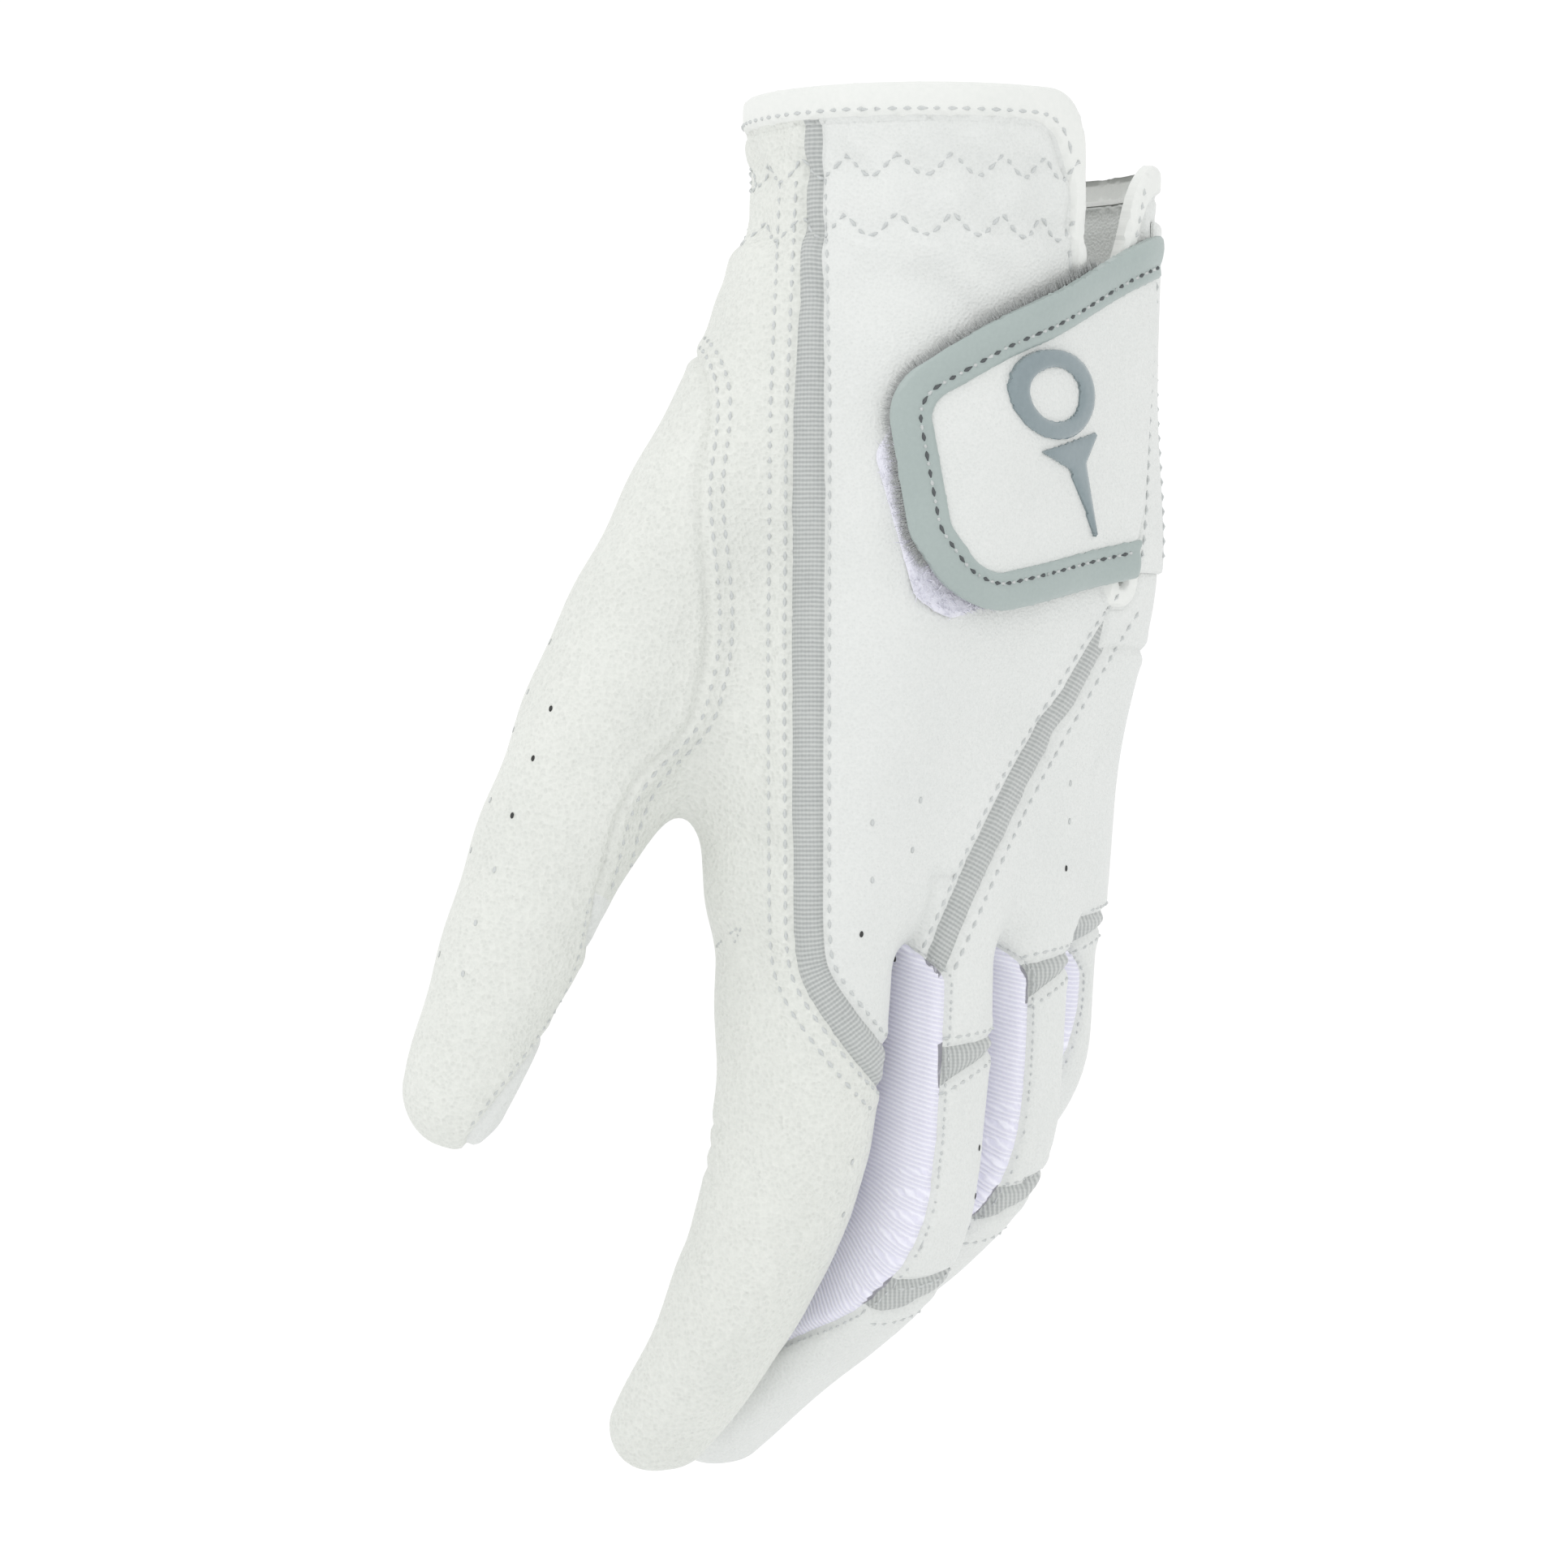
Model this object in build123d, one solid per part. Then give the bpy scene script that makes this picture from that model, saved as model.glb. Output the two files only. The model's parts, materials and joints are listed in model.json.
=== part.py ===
"""Left-hand golf glove, as worn on a relaxed hand: wrist opening up, fingers down.

Frame: millimetres, origin at the centre of the wrist opening, +Z out of the opening,
the back of the hand faces -Y, the palm +Y and the thumb lies towards -X.
Every leather or fabric panel is its own closed solid of real thickness.
"""

from build123d import *
import math
import os

# ---- driving dimensions ------------------------------------------------------------
WALL = 0.9                 # leather panel thickness
LAYER_GAP = 0.06           # air between layers that lie on each other
PAD = 0.9                  # thickness of the loop pad and of the hook pad
TAB = 1.2                  # thickness of the closure tab
TRIM = 1.7                 # thickness of the tab's edge trim
HAND_BOTTOM = -109.0       # height of the finger roots
HINGE_Z = -118.0           # height of the four knuckle axes
QUARTER = math.radians(50)  # turn of the sketch plane that the back's outlines are drawn on
TAB_ROOT_X = 18.0          # where the closure tab is sewn down; it peels about this line

# ---- hand tube: z, centre x, centre y, half width, half depth, corner radius --------
HAND_SECTIONS = [
    (4, 0.5, 0, 31.5, 24.5, 24),
    (-20, 0.5, 0, 31, 24, 23.5),
    (-40, 0, 0, 32, 21.5, 20.5),
    (-70, 1, -1, 35, 17, 15.5),
    (-90, -0.5, 2.8, 36, 12.5, 11),
    (-113, -1, 5.7, 37.3, 11, 9),
]

# ---- fingers: centre x, half width, then (y, z, half depth) of knuckle, middle joint,
#      end joint and tip centre, and the length of tube taken by each bending sleeve
FINGERS = {
    "index": (-26.0, 9.3, [(8, HINGE_Z, 10.5), (8.8, -149, 9.6), (19.5, -171, 8.6), (34, -187, 7.2)], 8, 10),
    "middle": (-6.9, 9.3, [(4, HINGE_Z, 10.5), (2.3, -160, 9.6), (23, -176, 8.6), (36, -187, 7.2)], 8, 10),
    "ring": (12.0, 9.1, [(5, HINGE_Z, 10.2), (2.9, -149, 9.4), (18, -163, 8.4), (32, -174, 7.0)], 8, 10),
    "little": (29.6, 8.0, [(7, HINGE_Z + 1, 9.2), (9, -137, 8.2), (18.5, -148, 7.4), (27, -156, 6.4)], 7, 8.5),
}
KNUCKLE_BANDS = {"index": 7.0, "middle": 7.0, "ring": 4.2, "little": 1.8}  # depth below the sleeve
TIP_NARROWING = 0.82       # the fingertip's half width over the finger's

# ---- thumb: joint centres and radii --------------------------------------------------
THUMB_ROOT = ((-21, 9.5, -34), 13.0)
THUMB_KNUCKLE = ((-45, 23, -82), 11.8)
THUMB_JOINT = ((-58, 30.5, -117), 10.3)
THUMB_TIP = ((-66.5, 35, -138), 8.3)
THUMB_SLEEVE = 6.0

parts = {}


# ---- helpers --------------------------------------------------------------------------
def solids_of(shape):
    """The shape's solids as one compound, dust left out."""
    kept = [s for s in shape.solids() if s.volume > 0.05]
    return Compound(children=kept) if len(kept) > 1 else kept[0]


def slab(low_z, high_z):
    """Everything between two heights."""
    return Pos(0, 0, (low_z + high_z) / 2) * Box(400, 400, high_z - low_z)


def half_space(axis, limit, sign):
    """The side of a plane at limit on axis ('x' or 'y') that sign points to."""
    shift = limit + sign * 200
    return Pos(*((shift, 0, 0) if axis == "x" else (0, shift, 0))) * Box(400, 400, 600)


def quarter_prism(points, near=200.0, far=-200.0):
    """An outline drawn on the quarter plane, as a prism between two depths along its normal."""
    toward = Vector(-math.sin(QUARTER), -math.cos(QUARTER), 0)
    plane = Plane(
        origin=tuple(toward * far),
        x_dir=(math.cos(QUARTER), -math.sin(QUARTER), 0),
        z_dir=tuple(toward),
    )
    return extrude(plane * make_face(Polyline(*points, close=True)), near - far)


def rounded_outline(points, radius):
    """A closed polygon with every corner rounded, as a face at the origin."""
    face = make_face(Polyline(*points, close=True))
    return fillet(face.vertices(), radius)


def quarter_face_prism(face, near=200.0, far=0.0):
    """As quarter_prism, for a ready face."""
    toward = Vector(-math.sin(QUARTER), -math.cos(QUARTER), 0)
    plane = Plane(
        origin=tuple(toward * far),
        x_dir=(math.cos(QUARTER), -math.sin(QUARTER), 0),
        z_dir=tuple(toward),
    )
    return extrude(plane * face, near - far)


def front_prism(points, near_y=-60.0, far_y=0.0):
    """An outline in x and z, as a prism between two values of y."""
    plane = Plane(origin=(0, far_y, 0), x_dir=(1, 0, 0), z_dir=(0, -1, 0))
    return extrude(plane * make_face(Polyline(*points, close=True)), far_y - near_y)


def tapered(start, start_radius, end, end_radius):
    """A round taper from one point to another."""
    axis = Vector(end) - Vector(start)
    plane = Plane(origin=start, z_dir=axis)
    return plane * Cone(
        start_radius, end_radius, axis.length, align=(Align.CENTER, Align.CENTER, Align.MIN)
    )


def along(start, end, distance):
    """The point at a distance from start towards end."""
    return Vector(start) + (Vector(end) - Vector(start)).normalized() * distance


def beyond(point, direction):
    """Everything on the side of a point that direction looks to."""
    plane = Plane(origin=tuple(point), z_dir=tuple(direction))
    return plane * Box(300, 300, 300, align=(Align.CENTER, Align.CENTER, Align.MIN))


# ---- hand tube ----------------------------------------------------------------------
def hand_tube(grow):
    """The wrist and palm as a filled tube, grown outwards all round."""
    sections = [
        Plane(origin=(cx, cy, z)) * RectangleRounded(2 * (a + grow), 2 * (b + grow), r + grow)
        for z, cx, cy, a, b, r in HAND_SECTIONS
    ]
    return loft([s.face() for s in sections])


def thumb_at(start, end, distance):
    """(point, radius) at a distance from one thumb joint towards the next."""
    share = distance / (Vector(end[0]) - Vector(start[0])).length
    return tuple(along(start[0], end[0], distance)), start[1] + (end[1] - start[1]) * share


MOUND_END = thumb_at(THUMB_KNUCKLE, THUMB_ROOT, THUMB_SLEEVE)
HOLLOW_END = thumb_at(THUMB_KNUCKLE, THUMB_ROOT, THUMB_SLEEVE - 1)


def hand_form(grow, mound_end):
    """Palm and thumb mound as one filled form."""
    (root, root_radius), (end, end_radius) = THUMB_ROOT, mound_end
    return hand_tube(grow) + tapered(root, root_radius + grow, end, end_radius + grow)


BODY_SLAB = slab(HAND_BOTTOM, 0)
SLIT_POINTS = [(-1.5, 6), (12.5, 6), (12.5, -10), (16.4, -68), (14.8, -68), (-0.8, -20)]
SLIT = front_prism(SLIT_POINTS)
THUMB_SEAM = [(-38, -33), (-35.3, -58), (-35.2, -82), (-38, -90), (-49, -112), (-120, -112), (-120, -33)]
RIBBON = [(-20.7, 1), (-18.9, 1), (-18.3, -60), (-18.5, -112), (-22.3, -112), (-22.6, -60), (-20.9, -10)]
DIAGONAL = [(24.5, -73), (23, -76), (9.5, -99), (5.5, -112), (1.5, -112), (6.5, -97), (20, -76)]

shell = (hand_form(0, MOUND_END) - hand_form(-WALL, HOLLOW_END)) & BODY_SLAB
shell = shell - SLIT
thumb_side = quarter_prism(THUMB_SEAM)
SIDE_SEAM = [(-22.3, -130), (-22.3, -112), (-22.6, -60), (-20.9, -10), (-20.7, 1), (-20.7, 10)]
back_side = half_space("y", 3.0, -1) & quarter_prism([*SIDE_SEAM, (120, 10), (120, -130)])
back = shell & back_side
ribbon_prism = quarter_prism(RIBBON, far=-5)
diagonal_prism = quarter_prism(DIAGONAL, far=-15)

parts["thumb_base_panel"] = (shell - back_side) & thumb_side
parts["palm_panel"] = (shell - back_side) - thumb_side
parts["long_stretch_ribbon"] = back & ribbon_prism
parts["diagonal_stretch_ribbon"] = back & diagonal_prism
leather_back = back - ribbon_prism - diagonal_prism
knuckle_side = quarter_prism(
    [(26, -71.5), (21.5, -74.5), (8, -98), (3.5, -113), (120, -113), (120, -71.5)], far=-60
)
ulnar_side = front_prism([(12, 8), (12, -10), (15.8, -68.5), (20, -78), (60, -78), (60, 8)], far_y=10)
parts["back_panel"] = leather_back - knuckle_side - ulnar_side
parts["ulnar_back_panel"] = (leather_back & ulnar_side) - knuckle_side
parts["knuckle_back_panel"] = leather_back & knuckle_side

# ---- cuff: binding round the rim, elastic inside the back, binding round the slit -----
BINDING_HEIGHT = 5.0
BINDING = 0.8
rim_wall = (hand_tube(0) - hand_tube(-WALL)) & slab(-40, 0)
rim_band = (hand_tube(BINDING) - hand_tube(-WALL - BINDING)) & slab(-BINDING_HEIGHT, BINDING)
parts["cuff_binding"] = (rim_band - rim_wall) - front_prism(
    [(-2.5, 8), (13.5, 8), (13.5, -10), (-1.8, -10)]
)
elastic_layer = hand_tube(-WALL - LAYER_GAP) - hand_tube(-WALL - LAYER_GAP - 0.8)
elastic_reach = half_space("x", -3, -1) & half_space("y", 0, -1)
parts["cuff_elastic"] = elastic_layer & elastic_reach & slab(-22.5, -8.0)
SLIT_EDGE = 2.6             # width of the binding along each edge of the slit
slit_outer = front_prism(
    [(-1.5 - SLIT_EDGE, -BINDING_HEIGHT - 0.1), (12.5 + SLIT_EDGE, -BINDING_HEIGHT - 0.1),
     (12.7 + SLIT_EDGE, -10), (16.6 + SLIT_EDGE, -70), (14.4 - SLIT_EDGE, -70), (-0.8 - SLIT_EDGE, -20)]
)
edge_layer = hand_tube(0.05 + BINDING) - hand_tube(0.05)
parts["slit_binding"] = (edge_layer & slit_outer) - front_prism(
    [(x + (0.3 if x > 5 else -0.3), z) for x, z in SLIT_POINTS]
)

# ---- closure: loop pad on the back, tab with hook pad, trim and emblem ----------------
TAB_OUTLINE = [(40, -10.5), (26.2, -19.5), (3.2, -33.5), (-8.5, -42), (-5.5, -62), (0.5, -71.5), (26.5, -66), (40, -64)]
TAB_CORNER = 3.5
TRIM_WIDTH = 4.3
left_of_root = half_space("x", TAB_ROOT_X, -1)
pad_gap = BINDING + 0.05 + LAYER_GAP


def layer(low, high):
    """A sheet that follows the hand tube between two distances off its surface."""
    return hand_tube(high) - hand_tube(low)


def inset_outline(points, distance):
    """The outline moved inwards, as a rounded face."""
    return offset(rounded_outline(points, TAB_CORNER), amount=-distance, kind=Kind.INTERSECTION)


tab_face = rounded_outline(TAB_OUTLINE, TAB_CORNER)
LOOP_OUTLINE = [(-3, -40), (6, -37), (6, -70), (0, -75.5), (-6, -72), (-11.5, -52)]
loop_face = rounded_outline(LOOP_OUTLINE, 3)
HOOK_OUTLINE = [(-7.5, -43), (3.2, -35), (5.5, -36), (5.5, -67.5), (1.5, -69), (-4.5, -62)]
parts["loop_pad"] = layer(0.05, 0.05 + PAD) & quarter_face_prism(loop_face)
hook_low = 0.05 + PAD + LAYER_GAP
tab_low = hook_low + PAD + 0.02
parts["hook_pad"] = layer(hook_low, hook_low + PAD) & quarter_face_prism(rounded_outline(HOOK_OUTLINE, 2))
tab_sheet = layer(tab_low, tab_low + TAB) & quarter_face_prism(tab_face) & left_of_root
trim_face = tab_face - inset_outline(TAB_OUTLINE, TRIM_WIDTH)
EMBLEM_AT = (12.0, -49.0)
EMBLEM_TURN = 20
parts["closure_tab"] = tab_sheet
trim_low = tab_low + TAB + 0.02
trim_sheet = layer(trim_low, trim_low + TRIM - TAB)
parts["tab_trim"] = trim_sheet & quarter_face_prism(trim_face) & left_of_root
ball = Circle(4.6) - Circle(3.2)
tee = make_face(Polyline((-4.0, -5.6), (4.0, -5.6), (1.1, -8.2), (0, -17.5), (-1.1, -8.2), close=True))
emblem = Pos(*EMBLEM_AT) * Rot(0, 0, EMBLEM_TURN) * Pos(0, 4.5) * (ball + tee)
parts["tab_emblem"] = Compound(
    children=list((trim_sheet & quarter_face_prism(emblem)).solids())
)
ANCHOR_GAP = 0.6
anchor_band = front_prism(
    [(TAB_ROOT_X + ANCHOR_GAP, -17), (27, -16), (27, -66), (TAB_ROOT_X + ANCHOR_GAP + 1.4, -66)]
)
parts["tab_anchor"] = layer(0.05 + BINDING + LAYER_GAP, 0.05 + BINDING + LAYER_GAP + 0.9) & anchor_band


# ---- fingers ---------------------------------------------------------------------------
def station(centre_x, y, z, heading, half_width, half_depth):
    """A rounded rectangular section of a finger tube. heading is its lean from straight down."""
    down = (0, math.sin(heading), -math.cos(heading))
    corner = min(half_width, half_depth) * 0.72
    plane = Plane(origin=(centre_x, y, z), x_dir=(1, 0, 0), z_dir=down)
    return (plane * RectangleRounded(2 * half_width, 2 * half_depth, corner)).face()


def lean(start, end):
    """The angle from straight down, towards the palm, of the run between two (y, z) points."""
    return math.atan2(end[0] - start[0], start[1] - end[1])


def step(start, end, distance):
    """(y, z) at a distance from start towards end."""
    reach = math.dist(start[:2], end[:2])
    share = distance / reach
    return start[0] + (end[0] - start[0]) * share, start[1] + (end[1] - start[1]) * share


def tube_pair(stations):
    """A tube's wall: the loft of its sections less the same loft one wall smaller."""
    made = []
    for shrink in (0.0, WALL):
        faces = [station(x, y, z, h, w - shrink, d - shrink) for x, y, z, h, w, d in stations]
        made.append(loft(faces, ruled=True))
    return made[0] - made[1]


def finger_tip(stations, end_lean):
    """The closed end: the last section drawn in to a small flat, hollow inside."""
    x, y, z, h, w, d = stations[-1]
    steps = [(0.45, 0.93), (0.78, 0.74), (0.97, 0.4)]
    made = []
    for shrink in (0.0, WALL):
        faces = [station(x, y, z, h, w - shrink, d - shrink) for x, y, z, h, w, d in stations]
        for ahead, size in steps:
            reach = (d - shrink) * ahead
            faces.append(
                station(
                    x, y + math.sin(end_lean) * reach, z - math.cos(end_lean) * reach,
                    end_lean, (w - shrink) * size, (d - shrink) * size,
                )
            )
        made.append(loft(faces, ruled=True))
    return made[0] - made[1]


def between_sides(name, centre_x, reach):
    """What lies between a finger's knit sides. The hand's two outer sides are leather, so they count."""
    low = -100 if name == "index" else -reach
    high = 100 if name == "little" else reach
    return Pos(centre_x + (low + high) / 2, 0, -150) * Box(high - low, 300, 200)


def finger(name, centre_x, half_width, joints, knuckle_sleeve, joint_sleeve):
    """All panels of one finger stall."""
    knuckle, middle, end, tip = joints
    lean_1, lean_2, lean_3 = lean(knuckle, middle), lean(middle, end), lean(end, tip)
    length_1 = math.dist(knuckle[:2], middle[:2])

    def section(at, heading, depth, width_share=1.0):
        return (centre_x, at[0], at[1], heading, half_width * width_share, depth)

    top = section((5.5, HAND_BOTTOM), 0.0, 11.0)
    root = section(step(knuckle, middle, knuckle_sleeve), lean_1, knuckle[2] * 0.98)
    wrist_side = section(step(knuckle, middle, length_1 - joint_sleeve), lean_1, middle[2] * 1.01)
    bend = section(middle, (lean_1 + lean_2) / 2, middle[2])
    tip_side = section(step(middle, end, joint_sleeve), lean_2, middle[2] * 0.98, 0.97)
    end_joint = section(end, (lean_2 + lean_3) / 2, end[2], 0.93)
    tip_section = section(tip, lean_3, tip[2], TIP_NARROWING)

    palm_outline = [(knuckle[0], 0)] + [(p[0], p[1]) for p in joints]
    last = step(end, tip, math.dist(end[:2], tip[:2]) + 30)
    palm_outline += [last, (last[0] + 60, last[1] + 60), (120, 0)]
    plane = Plane(origin=(centre_x - 20, 0, 0), x_dir=(0, 1, 0), z_dir=(1, 0, 0))
    palm_half = extrude(plane * make_face(Polyline(*palm_outline, close=True)), 40)

    side_reach = half_width - 2.6
    core = between_sides(name, centre_x, side_reach)
    tip_core = between_sides(name, centre_x, side_reach - 1.2)
    bare_core = Pos(centre_x, 0, -150) * Box(2 * side_reach, 300, 200)

    parts[f"{name}_knuckle_sleeve"] = tube_pair([top, section(knuckle, lean_1 / 2, knuckle[2]), root])
    proximal = tube_pair([root, wrist_side])
    middle_wall = proximal & core
    parts[f"{name}_palm_strip"] = middle_wall & palm_half
    back_wall = middle_wall - palm_half
    band = slab(knuckle[1] - knuckle_sleeve - KNUCKLE_BANDS[name], HAND_BOTTOM) & bare_core
    parts[f"{name}_knuckle_band"] = back_wall & band
    parts[f"{name}_back_strip"] = back_wall - band
    parts[f"{name}_fourchette"] = proximal - core
    sleeve = tube_pair([wrist_side, bend, tip_side])
    if name in ("middle", "ring"):
        parts[f"{name}_flex_band"] = (sleeve & core) - palm_half
        parts[f"{name}_flex_sleeve"] = sleeve - (core - palm_half)
    else:
        parts[f"{name}_flex_sleeve"] = sleeve
    end_tube = finger_tip([tip_side, end_joint, tip_section], lean_3)
    end_core = end_tube & tip_core
    parts[f"{name}_tip_palm"] = end_core & palm_half
    parts[f"{name}_tip_back"] = end_core - palm_half
    parts[f"{name}_tip_fourchette"] = end_tube - tip_core


for name, facts in FINGERS.items():
    finger(name, *facts)


# ---- thumb -----------------------------------------------------------------------------
def thumb_wall(start, end):
    """The hollow round taper between two (point, radius) ends."""
    (a, ra), (b, rb) = start, end
    return tapered(a, ra, b, rb) - tapered(a, ra - WALL, b, rb - WALL)


def ball_joint_wall(start, joint, end):
    """A bent sleeve: two tapers with a ball where they meet, hollow all through."""
    (a, ra), (j, rj), (b, rb) = start, joint, end
    made = [
        tapered(a, ra - w, j, rj - w) + Pos(*j) * Sphere(rj - w) + tapered(j, rj - w, b, rb - w)
        for w in (0.0, WALL)
    ]
    wall = made[0] - made[1]
    wall = wall - beyond(a, Vector(a) - Vector(j)) - beyond(b, Vector(b) - Vector(j))
    return wall


stall_start = thumb_at(THUMB_KNUCKLE, THUMB_JOINT, THUMB_SLEEVE)
stall_length = (Vector(THUMB_JOINT[0]) - Vector(THUMB_KNUCKLE[0])).length
stall_end = thumb_at(THUMB_KNUCKLE, THUMB_JOINT, stall_length - THUMB_SLEEVE)
tip_start = thumb_at(THUMB_JOINT, THUMB_TIP, THUMB_SLEEVE)

parts["thumb_knuckle_sleeve"] = ball_joint_wall(MOUND_END, THUMB_KNUCKLE, stall_start)
parts["thumb_joint_sleeve"] = ball_joint_wall(stall_end, THUMB_JOINT, tip_start)
gusset_side = quarter_prism([(-48.5, -100), (-49.5, -112), (-66, -150), (0, -150), (0, -80), (-37, -80)])
stall = thumb_wall(stall_start, stall_end)
parts["thumb_stall"] = stall - gusset_side
parts["thumb_gusset"] = stall & gusset_side
tip_tube = tapered(*tip_start, *THUMB_TIP) + Pos(*THUMB_TIP[0]) * Sphere(THUMB_TIP[1])
tip_hollow = tapered(tip_start[0], tip_start[1] - WALL, THUMB_TIP[0], THUMB_TIP[1] - WALL)
tip_hollow = tip_hollow + Pos(*THUMB_TIP[0]) * Sphere(THUMB_TIP[1] - WALL)
thumb_end = tip_tube - tip_hollow
parts["thumb_tip"] = thumb_end - gusset_side
parts["thumb_tip_gusset"] = thumb_end & gusset_side

# ---- write -------------------------------------------------------------------------------
os.makedirs("parts", exist_ok=True)
for node, shape in parts.items():
    export_step(solids_of(shape), f"parts/{node}.step")
print(len(parts), "nodes")
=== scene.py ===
"""Left-hand golf glove, shaped as worn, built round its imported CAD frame.

The skin is one smooth form: the zero level of a field made of the hand, the thumb and four fingers.
It is meshed once and cut along the seams into panels, and every panel gets real thickness, puffed
seams and its own cloth or leather. Lengths here are millimetres, and meshes are written in metres.
"""

import json
import math

import bpy
import numpy as np
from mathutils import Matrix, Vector
from mathutils.bvhtree import BVHTree
from mathutils.kdtree import KDTree


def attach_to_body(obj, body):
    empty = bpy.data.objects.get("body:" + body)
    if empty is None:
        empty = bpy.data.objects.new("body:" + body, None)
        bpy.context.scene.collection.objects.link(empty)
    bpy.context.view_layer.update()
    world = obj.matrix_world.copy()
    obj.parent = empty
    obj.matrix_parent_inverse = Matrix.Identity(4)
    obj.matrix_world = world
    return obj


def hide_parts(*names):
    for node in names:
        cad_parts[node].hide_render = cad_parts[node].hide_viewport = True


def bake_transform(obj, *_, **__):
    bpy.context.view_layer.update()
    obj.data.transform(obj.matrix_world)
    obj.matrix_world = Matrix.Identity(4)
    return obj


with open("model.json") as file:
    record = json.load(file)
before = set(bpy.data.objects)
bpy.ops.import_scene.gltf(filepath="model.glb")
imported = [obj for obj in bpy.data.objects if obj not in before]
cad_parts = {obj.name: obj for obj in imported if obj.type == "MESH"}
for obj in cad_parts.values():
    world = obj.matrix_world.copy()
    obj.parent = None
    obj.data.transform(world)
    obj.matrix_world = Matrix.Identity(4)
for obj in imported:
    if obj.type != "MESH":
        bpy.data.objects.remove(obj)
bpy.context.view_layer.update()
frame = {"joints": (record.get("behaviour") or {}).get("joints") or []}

MM = 0.001
GRID = 1.0                            # spacing of the lattice that the skin is meshed on
WALL = 0.9                            # leather thickness
JOINT = {j["name"]: np.array(j["pos_m"]) / MM for j in frame["joints"]}

# The seams of the back are drawn as seen from 50 degrees round towards the thumb:
# u runs across that view, z runs up it and depth runs away from the eye.
VIEW_TURN = math.radians(50)
ACROSS = np.array([math.cos(VIEW_TURN), -math.sin(VIEW_TURN), 0.0])
AWAY = np.array([math.sin(VIEW_TURN), math.cos(VIEW_TURN), 0.0])


# ---- shape functions -----------------------------------------------------------------------------
def eased(at, places, values):
    """A smooth curve through values at rising places, level beyond both ends."""
    places, values = np.asarray(places, float), np.asarray(values, float)
    slopes = np.gradient(values, places)
    at = np.clip(at, places[0], places[-1])
    i = np.clip(np.searchsorted(places, at) - 1, 0, len(places) - 2)
    width = places[i + 1] - places[i]
    t = (at - places[i]) / width
    ends = values[i] * (2 * t**3 - 3 * t**2 + 1) + values[i + 1] * (3 * t**2 - 2 * t**3)
    return ends + width * (slopes[i] * (t**3 - 2 * t**2 + t) + slopes[i + 1] * (t**3 - t**2))


def ramp(value, low, high):
    """0 below low, 1 above high and a smooth rise between them. low may be the larger."""
    t = np.clip((value - low) / (high - low), 0, 1)
    return t * t * (3 - 2 * t)


def smooth_min(a, b, reach):
    """The lower of two fields, rounded where they are within reach of each other."""
    h = np.clip(0.5 + 0.5 * (b - a) / reach, 0, 1)
    return b + (a - b) * h - reach * h * (1 - h)


def smooth_max(a, b, reach):
    return -smooth_min(-a, -b, reach)


def rounded_path(rows, dims, reach):
    """The run through rows, with each corner eased over reach. Columns past dims go along."""
    rows = np.asarray(rows, float)
    path = [rows[0]]
    for before, corner, after in zip(rows[:-2], rows[1:-1], rows[2:]):
        back = min(reach / np.linalg.norm((before - corner)[:dims]), 0.48)
        ahead = min(reach / np.linalg.norm((after - corner)[:dims]), 0.48)
        start = corner + (before - corner) * back
        end = corner + (after - corner) * ahead
        for t in np.linspace(0, 1, 9):
            path.append((1 - t) ** 2 * start + 2 * t * (1 - t) * corner + t * t * end)
    path.append(rows[-1])
    return np.array(path)


def nearest_on(p, path, dims):
    """(distance to the path, side of it, run along it, its other columns there) for each point."""
    best = np.full(p.shape[:-1], np.inf)
    side = np.zeros(p.shape[:-1])
    run = np.zeros(p.shape[:-1])
    extra = np.zeros(p.shape[:-1] + (path.shape[1] - dims,))
    gone = 0.0
    for a, b in zip(path[:-1], path[1:]):
        step = b[:dims] - a[:dims]
        length = np.linalg.norm(step)
        offset = p - a[:dims]
        t = np.clip(offset @ step / length**2, 0, 1)
        gap = np.linalg.norm(offset - t[..., None] * step, axis=-1)
        near = gap < best
        best = np.where(near, gap, best)
        run = np.where(near, gone + t * length, run)
        if dims == 2:
            side = np.where(near, step[0] * offset[..., 1] - step[1] * offset[..., 0], side)
        extra[near] = a[dims:] + t[near][..., None] * (b - a)[dims:]
        gone += length
    return best, np.sign(side), run, extra


# ---- the hand ------------------------------------------------------------------------------------
HAND_BOTTOM = -118.5
ARCH = 4.2                     # how far the back of the hand falls away at its sides, by the knuckles
HAND = np.array([              # z, centre x, centre y, half width, half depth, corner radius
    (-115, -1, 3.2, 37.0, 12.8, 11.5),
    (-90, -0.5, 1.0, 36, 14.2, 12.8),
    (-70, 0.5, -1, 34.2, 17, 15.5),
    (-40, 0, 0, 32, 21.5, 20.5),
    (-20, 0.5, 0, 31, 24, 23.5),
    (4, 0.5, 0, 31.5, 24.5, 24),
])


def hand_field(p):
    """Signed distance to the wrist and palm, below zero inside."""
    x, y, z = p[..., 0], p[..., 1], p[..., 2]
    centre_x, centre_y, width, depth, corner = (eased(z, HAND[:, 0], HAND[:, i]) for i in range(1, 6))
    arch = ARCH * ramp(z, -60, -100)
    centre_y = centre_y + arch * (np.minimum(np.abs(x + 5), 42) / 37) ** 2
    qx = np.abs(x - centre_x) - (width - corner)
    qy = np.abs(y - centre_y) - (depth - corner)
    outside = np.hypot(np.maximum(qx, 0), np.maximum(qy, 0))
    side = outside + np.minimum(np.maximum(qx, qy), 0) - corner
    return smooth_max(side, HAND_BOTTOM - z, 9)


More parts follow.
